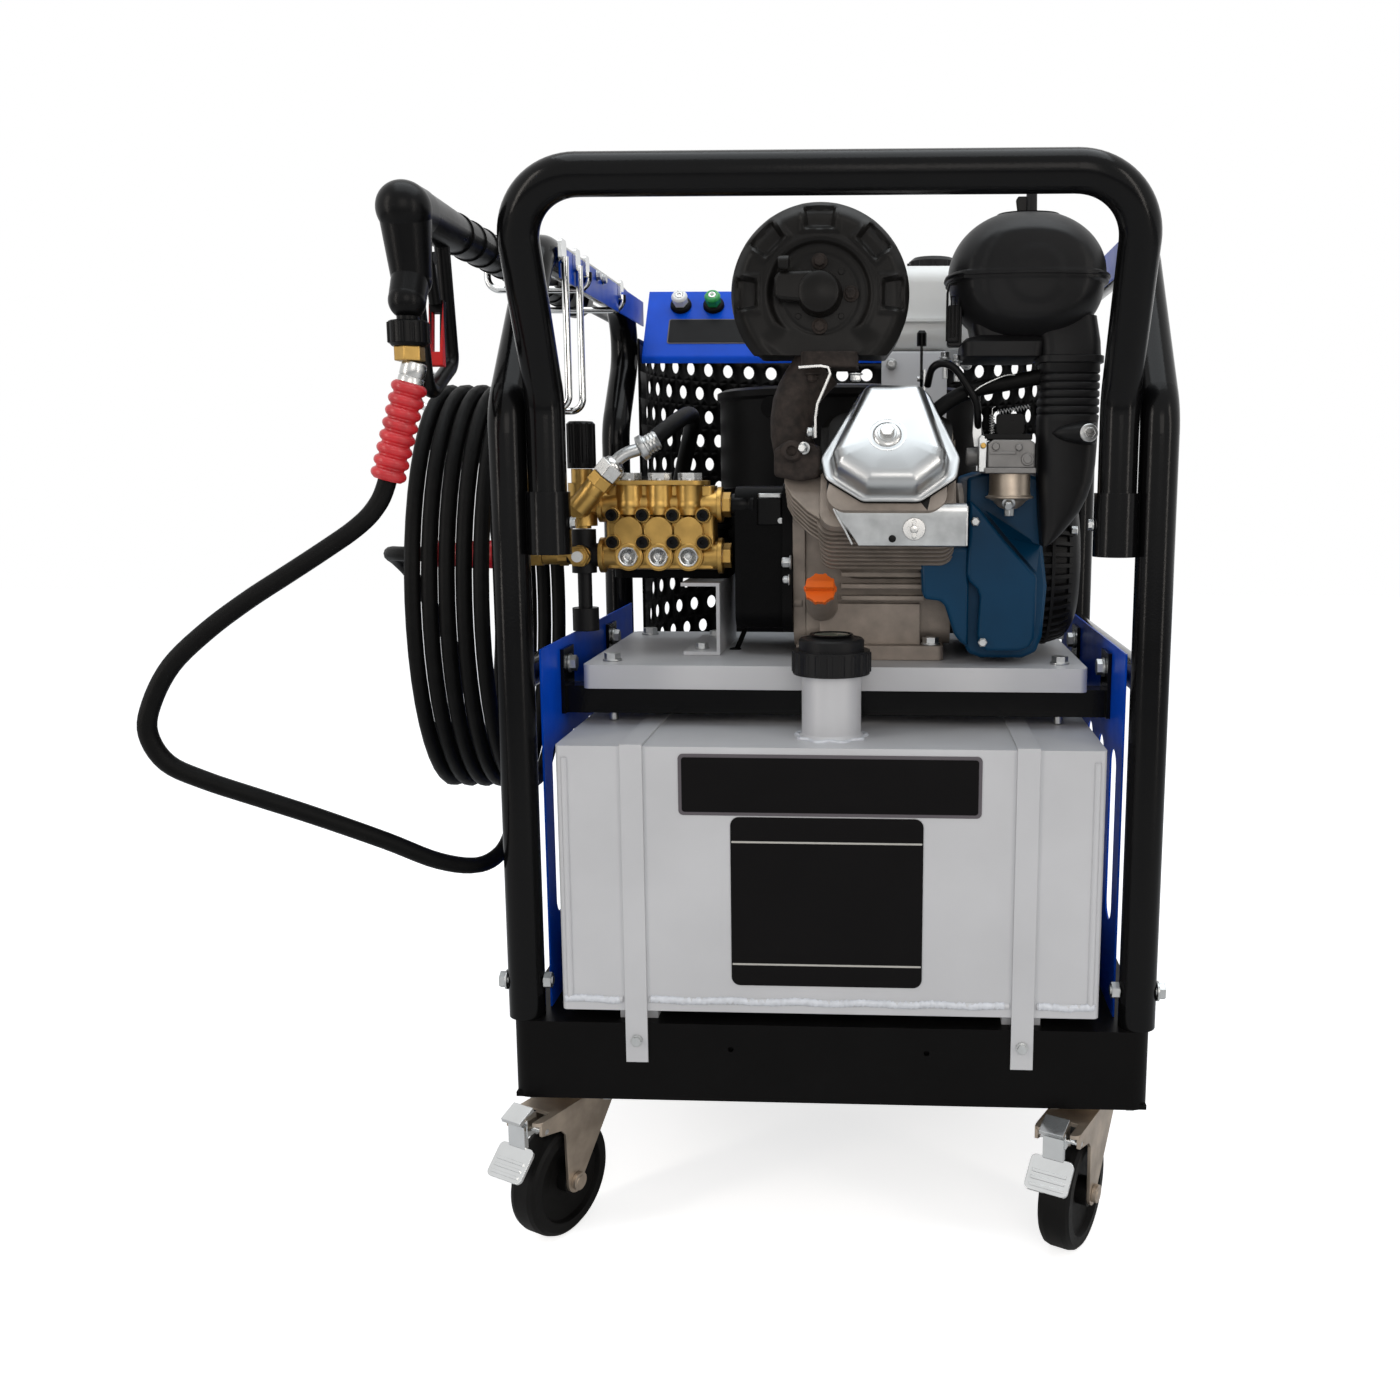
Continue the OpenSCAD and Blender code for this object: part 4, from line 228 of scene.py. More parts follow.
# %% Metals and paints
gloss_black = finish("gloss_black", (0.0028, 0.0028, 0.003), 0.17, grain=0.1, grain_mm=2.5, specular=0.12)
satin_black = finish("satin_black", (0.0032, 0.003, 0.003), 0.4, grain=0.15, grain_mm=1.2, specular=0.06)
royal_blue = finish("royal_blue", (0.0008, 0.062, 0.50), 0.32, grain=0.1, grain_mm=2, specular=0.1)
silver_paint = finish("silver_paint", (0.50, 0.505, 0.52), 0.42, metal=0.12, mottle=0.05, mottle_mm=120,
                      grain=0.08, grain_mm=1.5, specular=0.4)
zinc = finish("zinc", (0.46, 0.47, 0.47), 0.34, metal=1, mottle=0.16, mottle_mm=18, grain=0.15)
yellow_zinc = finish("castor_zinc", (0.40, 0.335, 0.27), 0.42, metal=0.85, mottle=0.22, mottle_mm=26,
                     grain=0.2)
carb_alloy = finish("carb_alloy", (0.17, 0.165, 0.16), 0.46, metal=0.5, mottle=0.14, mottle_mm=16,
                    grain=0.3)
cast_alloy = finish("cast_alloy", (0.24, 0.205, 0.175), 0.52, metal=0.45, mottle=0.16, mottle_mm=22,
                    grain=0.6, grain_mm=1.1, edge_mm=1.6, specular=0.3)
cast_black = finish("painted_casting", (0.0022, 0.0022, 0.0024), 0.42, mottle=0.2, mottle_mm=25, grain=0.5,
                    grain_mm=1.2, edge_mm=1.6, specular=0.05)
brass = finish("forged_brass", (0.43, 0.265, 0.075), 0.34, metal=0.9, mottle=0.18, mottle_mm=20,
               grain=0.3, grain_mm=0.9, edge_mm=1.5)
turned_steel = finish("turned_steel", (0.50, 0.50, 0.49), 0.27, metal=1, mottle=0.1, mottle_mm=12)
cover_steel = finish("drawn_steel", (0.40, 0.41, 0.415), 0.3, metal=1, mottle=0.05, mottle_mm=80,
                     edge_mm=2.5)
chrome = finish("bright_chrome", (0.62, 0.63, 0.63), 0.12, metal=1, mottle=0.05, mottle_mm=30,
                rough_shift=0.05)
stove_black = finish("stove_black", (0.006, 0.0055, 0.005), 0.38, mottle=0.3, mottle_mm=30, grain=0.25,
                     specular=0.15)
rusty_iron = finish("rusty_iron", (0.022, 0.0165, 0.014), 0.7, mottle=0.5, mottle_mm=9, grain=0.9,
                    grain_mm=1.4, specular=0.2)
print("metals and paints:", len(bpy.data.materials) - materials_before)

# %% Plastics and rubber
grained_black = finish("grained_black", (0.0065, 0.0065, 0.007), 0.42, grain=0.5, grain_mm=0.7,
                       specular=0.14)
smooth_black = finish("smooth_black", (0.0028, 0.0028, 0.003), 0.3, grain=0.1, grain_mm=2, specular=0.1)
petrol_blue = finish("petrol_blue", (0.0015, 0.036, 0.085), 0.34, mottle=0.1, grain=0.15, grain_mm=1.4,
                     specular=0.15)
tank_white = finish("tank_white", (0.72, 0.73, 0.72), 0.38, mottle=0.03, grain=0.15, grain_mm=1.5)
orange = finish("orange_plastic", (0.74, 0.13, 0.008), 0.38, mottle=0.08, grain=0.2, specular=0.35)
red_plastic = finish("red_plastic", (0.48, 0.010, 0.009), 0.35, mottle=0.1, grain=0.15, specular=0.35)
red_rubber = finish("red_rubber", (0.48, 0.014, 0.020), 0.36, mottle=0.16, mottle_mm=14, grain=0.2,
                    specular=0.5)
hose_rubber = finish("hose_rubber", (0.0028, 0.0028, 0.0028), 0.46, mottle=0.3, mottle_mm=14, grain=0.7,
                     grain_mm=1.3, specular=0.08)
tyre_rubber = finish("tyre_rubber", (0.0042, 0.004, 0.0038), 0.5, mottle=0.25, mottle_mm=25, grain=0.3,
                     specular=0.1)
coupler_colours = {"white": (0.8, 0.8, 0.78), "green": (0.02, 0.30, 0.07), "yellow": (0.8, 0.55, 0.02),
                   "red": (0.5, 0.015, 0.01)}
coupler = {k: finish("coupler_" + k, c, 0.35, mottle=0.05) for k, c in coupler_colours.items()}
print("finishes:", len(bpy.data.materials) - materials_before)


# %% [markdown]
# ## Making pieces
# Three shapes cover most small parts: a profile turned about an axis, a tube drawn along points, and
# a plate cut from an outline. Each helper builds a mesh in millimetres, places it with one matrix,
# and lets it ride on a body of the frame.

# %% Directions and places
UPWARD, TO_FRONT, TO_LEFT, TO_RIGHT, DOWNWARD = (0, 0, 1), (0, -1, 0), (-1, 0, 0), (1, 0, 0), (0, 0, -1)
IN_PLACE = Matrix.Identity(4)


def moved(x, y, z):
    """Shift in millimetres."""
    return Matrix.Translation(Vector((x, y, z)) * MM)


def frame_at(at_mm, axis=UPWARD, up=None):
    """Matrix in metres whose z runs along axis at a point given in millimetres."""
    w = Vector(axis).normalized()
    hint = Vector(up) if up else (Vector((0, 0, 1)) if abs(w.z) < 0.9 else Vector((1, 0, 0)))
    u = hint.cross(w).normalized()
    m = Matrix((u, w.cross(u), w)).transposed().to_4x4()
    return Matrix.Translation(Vector(at_mm) * MM) @ m


def round_about(where, degrees, r, z):
    """Frame turned about the z axis of where, then moved out by r and up by z, in millimetres."""
    return where @ Matrix.Rotation(math.radians(degrees), 4, "Z") @ moved(r, 0, z)


print("10 mm up is", moved(0, 0, 10).to_translation())

# %% Pieces and turned forms
def piece(name, verts_mm, faces, where, material, body="machine", smooth=35):
    """Mesh object from points in millimetres, with even normals and no doubled points."""
    mesh = bpy.data.meshes.new(name)
    mesh.from_pydata([tuple(Vector(v) * MM) for v in verts_mm], [], faces)
    solid = bmesh.new()
    solid.from_mesh(mesh)
    bmesh.ops.remove_doubles(solid, verts=solid.verts, dist=1e-6)
    bmesh.ops.recalc_face_normals(solid, faces=solid.faces)
    solid.to_mesh(mesh)
    solid.free()
    mesh.transform(where)
    made = bpy.data.objects.new(name, mesh)
    bpy.context.scene.collection.objects.link(made)
    mesh.materials.append(material)
    mesh.shade_smooth()
    mesh.set_sharp_from_angle(angle=math.radians(smooth))
    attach(made, body)
    return made


def spun_faces(n, steps):
    """Faces between steps copies of a profile of n points, set round an axis."""
    faces = []
    for k in range(steps):
        a, b = k * n, (k + 1) % steps * n
        faces += [(a + i, b + i, b + i + 1, a + i + 1) for i in range(n - 1)]
    return faces


def turned(name, profile, where, material, body="machine", steps=40):
    """Profile of (radius, height) pairs in millimetres, turned about the z axis of where."""
    verts = []
    n = len(profile)
    for k in range(steps):
        a = math.tau * k / steps
        verts += [(r * math.cos(a), r * math.sin(a), z) for r, z in profile]
    faces = spun_faces(n, steps)
    for end in (0, n - 1):
        if profile[end][0] > 0.01:
            faces.append([k * n + end for k in range(steps)])
    return piece(name, verts, faces, where, material, body)


print("faces of a cone in four steps:", len(spun_faces(2, 4)))

# %% Plates and tubes
def plate(name, outline, thick, where, material, body="machine", bevel=0.0):
    """Outline of (x, y) pairs in millimetres, pushed up z by thick."""
    n = len(outline)
    verts = [(x, y, z) for z in (0, thick) for x, y in outline]
    faces = [list(range(n)), list(range(n, 2 * n))]
    faces += [(i, (i + 1) % n, n + (i + 1) % n, n + i) for i in range(n)]
    made = piece(name, verts, faces, where, material, body)
    if bevel:
        round_off = made.modifiers.new("round_off", "BEVEL")
        round_off.width = bevel * MM
        round_off.segments = 3
        round_off.angle_limit = math.radians(40)
    return made


def tube(name, points_mm, diameter, material, body="machine", sides=12):
    """Tube along points in millimetres, as a curve with a round bevel."""
    curve = bpy.data.curves.new(name, "CURVE")
    curve.dimensions = "3D"
    curve.bevel_depth = diameter / 2 * MM
    curve.bevel_resolution = max(1, sides // 4 - 1)
    curve.use_fill_caps = True
    line = curve.splines.new("POLY")
    line.points.add(len(points_mm) - 1)
    for spot, p in zip(line.points, points_mm):
        spot.co = (*(Vector(p) * MM), 1)
    line.use_smooth = True
    made = bpy.data.objects.new(name, curve)
    bpy.context.scene.collection.objects.link(made)
    curve.materials.append(material)
    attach(made, body)
    return made


print("plates and tubes ready")

# %% Smooth lines and soft corners
def flowing(points, steps):
    """Smooth line through the points: Catmull-Rom, steps to each stretch."""
    line = []
    last = len(points) - 1
    p = [Vector(q) for q in points]
    for i in range(last):
        a, b, c, d = p[max(0, i - 1)], p[i], p[i + 1], p[min(last, i + 2)]
        for k in range(steps):
            t = k / steps
            line.append(0.5 * (2 * b + (c - a) * t + (2 * a - 5 * b + 4 * c - d) * t * t
                               + (3 * b - a - 3 * c + d) * t ** 3))
    line.append(p[last])
    return line


def rounded_box(w, h, r, corner=6):
    """Outline of a w by h rectangle with corners of radius r, about the origin."""
    spots = []
    for cx, cy, a0 in ((1, 1, 0), (-1, 1, 90), (-1, -1, 180), (1, -1, 270)):
        for k in range(corner + 1):
            a = math.radians(a0 + 90 * k / corner)
            spots.append((cx * (w / 2 - r) + r * math.cos(a), cy * (h / 2 - r) + r * math.sin(a)))
    return spots


print("points of a rounded box:", len(rounded_box(20, 10, 2)))

# %% [markdown]
# ## The hose
# The pressure hose is one length of 17 mm rubber: out of the gun through a ribbed sleeve, round a free
# bow, five times round the hooks, and back to the pump. It is drawn as one curve along the same
# points that the CAD solids follow, so it lies where they lie.

# %% Hose line
HOSE_D = 17
LEAD = [
    (-379, -537, 904), (-390.7, -539.7, 860.7), (-404.5, -542.9, 809.6), (-415, -547.5, 787.2),
    (-431.5, -554, 769.6), (-458, -563, 750), (-488, -574, 729), (-521, -586, 706),
    (-553, -599, 680), (-582, -610, 650), (-600, -615, 616), (-606, -614, 588), (-594, -608, 560),
    (-566, -596, 541), (-526, -577, 520), (-484, -552, 496), (-434, -514, 462), (-396, -475, 430),
    (-368, -435, 414), (-354, -395, 419), (-352, -352, 440), (-352, -311, 459), (-352, -279, 466),
    (-352, -260.6, 466),
]
TAIL = [
    (-443, -257, 466), (-443, -239, 466), (-445, -205, 473), (-452, -164, 497), (-464, -140, 532),
    (-480, -130, 576), (-498, -132, 622), (-514, -145, 664), (-525, -168, 698), (-530, -198, 718),
    (-524, -231, 726), (-502, -256, 727.5), (-478, -265.3, 728), (-460, -267, 728),
    (-412, -267, 728), (-364, -267, 728),
]
LOOPS, RINGS = 5, 24
HANK_X0, HANK_PITCH, HANK_Y = -352, 18.2, -258.5
HANK_REACH, HANK_LOW, HANK_TOP = 141, 466, 909.5


def hank_line():
    """Points of the coils: ovals round the hooks, each a pitch further out than the last."""
    middle, high = (HANK_TOP + HANK_LOW) / 2, (HANK_TOP - HANK_LOW) / 2
    for i in range(LOOPS * RINGS + 1):
        a = math.tau * i / RINGS
        yield Vector((HANK_X0 - HANK_PITCH * i / RINGS, HANK_Y + HANK_REACH * math.sin(a),
                      middle - high * math.cos(a)))


hank = flowing(list(hank_line()), 2)
hose_line = flowing(LEAD, 5)[:-1] + hank + flowing(TAIL, 5)[1:]


def length_of(line):
    """Length in metres of a line of points in millimetres."""
    return sum((b - a).length for a, b in zip(line, line[1:])) * MM


hose = tube("hose", hose_line, HOSE_D, hose_rubber, sides=20)
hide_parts("hose_lead", "hose_hank", "hose_tail")

# %% Ribbed sleeves
SLEEVE, SLEEVE_RIBS = 92, 8
RIB_SHAPE = ((0.06, 4.2), (0.2, 6.2), (0.35, 7.3), (0.5, 7.6), (0.65, 7.3), (0.8, 6.2), (0.94, 4.2))


def sleeve_profile():
    """Profile of the sleeve: RIB_SHAPE gives each rib as (share of its length, height over the hose)."""
    r, pitch = HOSE_D / 2, SLEEVE / SLEEVE_RIBS
    yield (r + 0.2, 0)
    for i in range(SLEEVE_RIBS):
        for share, out in RIB_SHAPE:
            yield (r + out, (i + share) * pitch)
    yield (r + 3.4, SLEEVE)
    yield (r + 0.2, SLEEVE)


def sleeve(name, start, towards):
    """Ribbed rubber sleeve over the hose, 2 mm clear of the fitting at start."""
    axis = Vector(towards) - Vector(start)
    where = frame_at(Vector(start) + axis.normalized() * 2, axis)
    return turned(name, list(sleeve_profile()), where, red_rubber)


gun_sleeve = sleeve("gun_sleeve", LEAD[0], LEAD[1])
pump_sleeve = sleeve("pump_sleeve", TAIL[-1], TAIL[-2])
print("sleeve ribs", SLEEVE / SLEEVE_RIBS, "mm apart")

# %% [markdown]
# The gun end has a black screw collar with grip bars, a brass hexagon and a crimped steel ferrule. The
# pump end has a brass nut and ferrule. They stay separate, because each has its own finish.

# %% Hose ends
GUN_IN = Vector((-379, -537, 957))
gun_pipe = frame_at(GUN_IN, DOWNWARD)
PUMP_IN = Vector((-333.5, -267, 728))
pump_pipe = frame_at(PUMP_IN, TO_LEFT)


def grip_collar(name, where, radius, low, high, bars, material):
    """Screw collar with upright grip bars round it."""
    profile = [(radius - 3, low), (radius - 1.2, low + 1), (radius - 1.2, high - 3), (radius - 4, high)]
    made = [turned(name, profile, where, material)]
    for i in range(bars):
        spot = round_about(where, 360 * i / bars, radius - 2, low + 2)
        made.append(plate(f"{name}_bar_{i}", rounded_box(4, 4.4, 1.2, 3), high - low - 5, spot, material))
    return made


def hexagon(name, across, low, high, where, material, body="machine"):
    """Six-sided head or nut, across its flats, from low to high."""
    r = across / 2 / math.cos(math.pi / 6)
    corners = [(r * math.cos(math.radians(60 * k)), r * math.sin(math.radians(60 * k))) for k in range(6)]
    return plate(name, corners, high - low, where @ moved(0, 0, low), material, body, bevel=0.8)


collar = grip_collar("gun_collar", gun_pipe, 19, 0.3, 23, 12, smooth_black)
gun_nut = hexagon("gun_nut", 24, 23, 36, gun_pipe, brass)
lead_start = frame_at(LEAD[0], Vector(LEAD[1]) - Vector(LEAD[0]))
gun_ferrule = turned("gun_ferrule", [(9, -17), (10.5, -16), (11.5, -12), (11.5, -4), (10.8, -3), (11.5, -2),
                                     (11.5, 4), (9, 5)], lead_start, turned_steel)
pump_nut = hexagon("pump_nut", 24, 0.3, 17, pump_pipe, brass)
pump_ferrule = turned("pump_ferrule", [(8, 17), (9.5, 18), (9.5, 30), (9, 33)], pump_pipe, brass)
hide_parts("hose_fittings")
print("pieces of the gun's collar:", len(collar))

# %% [markdown]
# ## Dressing the solids
# Every solid that came with the frame keeps its shape and its place. It is given its finish here, and
# where a real part has two finishes, the faces are sorted by where they lie: a steel shaft in a cast
# fan wheel, a red pad on a black trigger. Solids that get a new mesh further on aren't dressed.


def dress(node, main, *others, smooth=32):
    """Give a frame solid its finish. others are (finish, test) and test takes a face centre in mm."""
    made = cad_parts[node]
    mesh = made.data
    mesh.materials.clear()
    for material in (main, *[o[0] for o in others]):
        mesh.materials.append(material)
    for face in mesh.polygons:
        face.material_index = 0
        if others:
            c = face.center / MM
            for i, (_, test) in enumerate(others):
                if test(c):
                    face.material_index = i + 1
                    break
    mesh.shade_smooth()
    mesh.set_sharp_from_angle(angle=math.radians(smooth))
    return made


def off_axis(c, at, axis):
    """Distance in mm of a point from a line."""
    d = c - Vector(at)
    w = Vector(axis).normalized()
    return (d - w * d.dot(w)).length


# %% Finishes of the solids
ONE_FINISH = (
    (gloss_black, ("side_frame_left", "side_frame_right", "cross_bars", "handle_hoop")),
    (satin_black, ("base_frame", "boiler")),
    (royal_blue, ("side_panels",)),
    (silver_paint, ("diesel_tank", "tank_straps", "engine_plate", "pump_bracket")),
    (zinc, ("hex_bolts",)),
    (yellow_zinc, ("castor_brackets", "fork_front_left", "fork_front_right")),
    (chrome, ("pedal_front_left", "pedal_front_right")),
    (tyre_rubber, ("rubber_mounts", "wheel_front_left", "wheel_front_right", "wheel_rear_left",
                   "wheel_rear_right")),
    (grained_black, ("filler_cap", "fuel_cap")),
    (smooth_black, ("recoil_grip", "throttle_lever", "unloader_knob", "gun_body", "lance")),
    (tank_white, ("fuel_tank",)),
    (orange, ("dipstick",)),
    (cast_black, ("pump_gearbox",)),
    (brass, ("pump_manifold", "unloader_valve")),
)
for material, nodes in ONE_FINISH:
    for node in nodes:
        dress(node, material)
COLOURS = ("white", "green", "yellow", "red")
for colour in COLOURS:
    dress("nozzle_" + colour, coupler[colour])
print("solids of one finish:", sum(len(nodes) for _, nodes in ONE_FINISH) + len(COLOURS))

# %% Solids with more than one finish
SHAFT = Vector((56, -213, 721))
ALONG = Vector((0, -0.839, 0.545))
dress("flywheel", cast_alloy, (turned_steel, lambda c: off_axis(c, SHAFT, TO_RIGHT) < 14))
dress("crankcase", cast_alloy, (stove_black, lambda c: c.z > 832 or (c.z > 800 and c.x < -8)))
dress("gun_trigger", smooth_black, (red_plastic, lambda c: 914 < c.z < 962))
dress("hose_hooks", chrome, (smooth_black, lambda c: c.z > 1040 and c.x > -292.5))
print("dressed:", sum(1 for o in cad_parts.values() if o.data.materials))

# %% [markdown]
# ## Tank details
# The tank is folded steel, and the front seam near its floor is welded by hand. A hand weld is a row
# of overlapping drops, never an even rod, so the bead is built from rings whose size and height
# wander. Two blank black plates 0.8 mm thick lie on the front. The upper one has a grey border and
# the lower one two pale lines.

# %% Weld bead
TANK_FRONT, NECK_Y = -460, -399


def weld(name, start, end, width, wander, material, seed, pitch=5.5):
    """Hand-laid bead along a line: three rings to each drop, and the same seed gives the same bead."""
    rng = random.Random(seed)
    a, b = Vector(start), Vector(end)
    run = (b - a).normalized()
    out = Vector(TO_FRONT)
    up = run.cross(out)
    n = int((b - a).length / pitch)
    sides = 8
    verts, faces = [], []
    for i in range(n * 3 + 1):
        swell = 0.72 + 0.28 * math.sin(math.pi * (i % 3 + 0.5) / 3) + rng.uniform(-0.08, 0.08)
        if i in (0, n * 3):
            swell = 0.2
        rise = wander * math.sin(i * 0.16 + seed) + rng.uniform(-0.5, 0.5)
        middle = a + run * (i * pitch / 3) + up * rise
        for k in range(sides):
            t = math.tau * k / sides
            verts.append(middle + up * math.cos(t) * width / 2 * swell + out * math.sin(t) * 4.4 * swell)
    for i in range(n * 3):
        for k in range(sides):
            j = (k + 1) % sides
            faces.append((i * sides + k, i * sides + j, (i + 1) * sides + j, (i + 1) * sides + k))
    faces += [list(range(sides)), list(range(n * 3 * sides, (n * 3 + 1) * sides))]
    return piece(name, verts, faces, IN_PLACE, material, smooth=60)


bead_paint = finish("bead_paint", (0.56, 0.58, 0.62), 0.36, metal=0.1, mottle=0.1, mottle_mm=8, grain=0.3)
SEAM_Y, SEAM_Z = TANK_FRONT + 0.6, 279
for i, (x0, x1) in enumerate(((-276, -214), (-186, 184), (214, 276))):
    weld(f"seam_{i}", (x0, SEAM_Y, SEAM_Z), (x1, SEAM_Y, SEAM_Z), 9, 0.8, bead_paint, 3 + i)
NECK_R, NECK_FOOT = 35, 548.6
ring = []
for k in range(61):
    t = math.tau * k / 60
    r = NECK_R + 2.5 * math.sin(9 * t)
    ring.append((r * math.cos(t), NECK_Y + r * math.sin(t), NECK_FOOT + 0.5 * math.sin(7 * t)))
tube("neck_weld", ring, 4.5, bead_paint)
print("neck weld", round(length_of([Vector(p) for p in ring]), 3), "m round")

# %% Blank plates
plate_black = finish("plate_black", (0.003, 0.0026, 0.0028), 0.4, mottle=0.1, specular=0.08)
plate_grey = finish("plate_grey", (0.10, 0.09, 0.10), 0.4, mottle=0.06, specular=0.2)
plate_line = finish("plate_line", (0.42, 0.41, 0.38), 0.35, mottle=0.06)


def film(name, x0, x1, z0, z1, thick, r, material, lift=0.0):
    """Thin plate on the tank's front, from x0 to x1 and z0 to z1, with corners of radius r."""
    where = frame_at(((x0 + x1) / 2, TANK_FRONT - lift, (z0 + z1) / 2), TO_FRONT, up=UPWARD)
    return plate(name, rounded_box(x1 - x0, z1 - z0, r), thick, where, material)


film("upper_plate_edge", -152.5, 154, 477.5, 541, 0.8, 5, plate_grey)
film("upper_plate", -149, 150.5, 481, 537.5, 0.5, 3, plate_black, 0.8)
film("lower_plate", -100, 96, 297, 476, 0.8, 9, plate_black)
for which, z in (("top", 449), ("low", 319)):
    film("lower_plate_line_" + which, -99, 95, z, z + 2, 0.3, 0.9, plate_line, 0.8)
print("blank plates made")

# %% Painted shade: dark discs behind the two holes of the base, so the holes read dark
for i, x in enumerate((-103, 102)):
    # Each disc is a dark sheet where there is only shade inside the hole: painted shade.
    turned(f"base_hole_shade_{i}", [(0.01, 3), (7, 3), (7, 0), (0.01, 0)], frame_at((x, -452, 227), TO_FRONT),
           satin_black, steps=20)
print("hole_shade_discs made")

# %% [markdown]
# The filler cap carries a float gauge: a clear window in its top. Window and rim turn with the cap.

# %% Cap window
gauge_green = finish("gauge_window", (0.06, 0.10, 0.075), 0.08, mottle=0.2, mottle_mm=12, coat=0.8)
top_of_cap = frame_at((0, NECK_Y, 655.4))
turned("cap_window", [(0.01, 0.9), (8, 0.85), (17, 0.5), (19, 0.1), (19.5, -0.4)], top_of_cap, gauge_green,
       "filler_cap")
turned("cap_window_rim", [(19.2, 0), (19.6, 0.9), (21, 1.2), (22.4, 0.9), (22.8, 0)], top_of_cap,
       smooth_black, "filler_cap")
print("cap window at", top_of_cap.to_translation())

# %% [markdown]
# ## Pressure switch
# On the pump's outlet end sits a pressure switch: a turned black barrel, then a square plug housing
# with a bright lid, held by one screw. Its cable leaves below and runs down behind the engine plate.

# %% Switch and cable
SWITCH = frame_at((-119.5, -268, 785), TO_RIGHT, up=UPWARD)
turned("switch_hex_seat", [(0.01, 0), (9, 0), (9, 2), (0.01, 2)], SWITCH, brass)
turned("switch_barrel", [(9, 1), (11.5, 1.5), (12.3, 3), (12.3, 20), (11.6, 21), (11.6, 22.5), (12.3, 23.5),
                         (12.3, 27), (10, 28.5), (10, 31)], SWITCH, smooth_black)
switch_box = frame_at((-74, -268, 787), UPWARD, up=(0, 1, 0))
plate("switch_housing", rounded_box(30, 28, 4), 30, switch_box @ moved(0, 0, -24), smooth_black, bevel=1.5)
plate("switch_lid", rounded_box(27, 25, 3), 5, switch_box @ moved(0, 0, 6), zinc, bevel=1)
turned("switch_screw", [(0.01, 2), (1.6, 2), (1.9, 1.4), (3.2, 1.4), (3.4, 0), (0.01, 0)],
       frame_at((-62, -282.2, 768), TO_FRONT), zinc, steps=20)
CABLE_D = 6
cable = flowing([(-76, -270, 766), (-76, -270, 752), (-79, -268, 730), (-86, -262, 700), (-97, -250, 668),
                 (-108, -236, 640), (-116, -226, 622), (-121, -222, 611.4)], 6)
switch_cable = tube("switch_cable", cable, CABLE_D, hose_rubber)
turned("cable_gland", [(3, 0), (6, 0), (6.4, 3), (5.4, 9), (3.4, 12)], frame_at(cable[0], DOWNWARD),
       smooth_black, steps=24)
turned("cable_grommet", [(3, 0), (6.5, 0.2), (7.5, 1.6), (6.5, 3.2), (3, 4)], frame_at((-121, -222, 613)),
       tyre_rubber, steps=24)
print("cable length", round(length_of(cable), 3), "m")

# %% [markdown]
# ## Engine fittings
# Bolts are what the eye counts on an engine. One helper makes them all: a hexagon with a chamfered
# crown on a washer. The exhaust stay is bent from flat strip, and the flange bolts have rusted.

# %% Bolt helper
WASHER_THICK = 1.6


def bolt(name, at_mm, axis, across, head, washer=None, material=zinc, turn_deg=0):
    """Hexagon head with a chamfered crown, on a washer if its diameter is given."""
    where = round_about(frame_at(at_mm, axis), turn_deg, 0, 0)
    low = WASHER_THICK if washer else 0
    if washer:
        r = washer / 2
        turned(name + "_washer", [(0.01, 0), (r - 0.4, 0), (r, 0.4), (r, low - 0.3), (r - 0.5, low),
                                  (0.01, low)], where, material, steps=28)
    hexagon(name, across, low, low + head, where, material)
    turned(name + "_crown", [(across * 0.47, 0), (across * 0.40, 0.9), (0.01, 0.9)],
           where @ moved(0, 0, low + head - 0.1), material, steps=28)


def strip(name, points, width, thick, material, across=(0, 1, 0)):
    """Flat strip bent along points in millimetres, its width lying along across."""
    side = Vector(across).normalized() * width / 2
    line = [Vector(p) for p in points]
    verts, faces = [], []
    for i, p in enumerate(line):
        run = (line[min(i + 1, len(line) - 1)] - line[max(i - 1, 0)]).normalized()
        up = run.cross(side).normalized() * thick / 2
        verts += [p - side - up, p + side - up, p + side + up, p - side + up]
    for i in range(len(line) - 1):
        a, b = 4 * i, 4 * i + 4
        faces += [(a + k, a + (k + 1) % 4, b + (k + 1) % 4, b + k) for k in range(4)]
    faces += [(0, 1, 2, 3), tuple(range(len(verts) - 4, len(verts)))]
    return piece(name, verts, faces, IN_PLACE, material, smooth=30)


print("bolt and strip helpers ready")

# %% Exhaust stay and flange bolts
strip("exhaust_stay", [(-34, -388, 926), (-12, -388, 927.5), (-4, -388, 926), (-2, -388, 920),
                       (-7, -388, 908), (-15, -388, 890), (-17, -388, 876), (-17, -388, 856)], 12, 2.4,
      turned_steel)
bolt("stay_bolt", (-19, -384, 862), (-1, -0.2, 0), 9, 5, 13, turn_deg=10)
bolt("flange_bolt_left", (-21, -372, 921.6), DOWNWARD, 10, 6, 15, rusty_iron)
bolt("flange_bolt_right", (23, -372, 921.6), DOWNWARD, 11, 6, 15)
turned("elbow_boss", [(11, -4), (11, 3), (9, 5), (5.5, 5), (5.2, 1), (0.01, 1)],
       frame_at((-42, -378, 843), TO_FRONT), rusty_iron)
bolt("elbow_bolt", (-29, -380, 846), (-0.35, -1, 0), 9, 5, 13, turn_deg=15)
print("exhaust stay and flange bolts made")

# %% [markdown]
# The rocker cover is drawn steel. A domed washer spreads the load of its one bolt. The bolts along the
# crankcase's side are plain zinc.

# %% Rocker washer and case bolts
UP_THE_HEAD = Vector((0, 0.545, 0.839))


def on_cylinder(x, up, out):
    """Point in mm beside the cylinder's axis: x across, up the cover's face, out along the axis."""
    return SHAFT + Vector((x, 0, 0)) + UP_THE_HEAD * up + ALONG * out


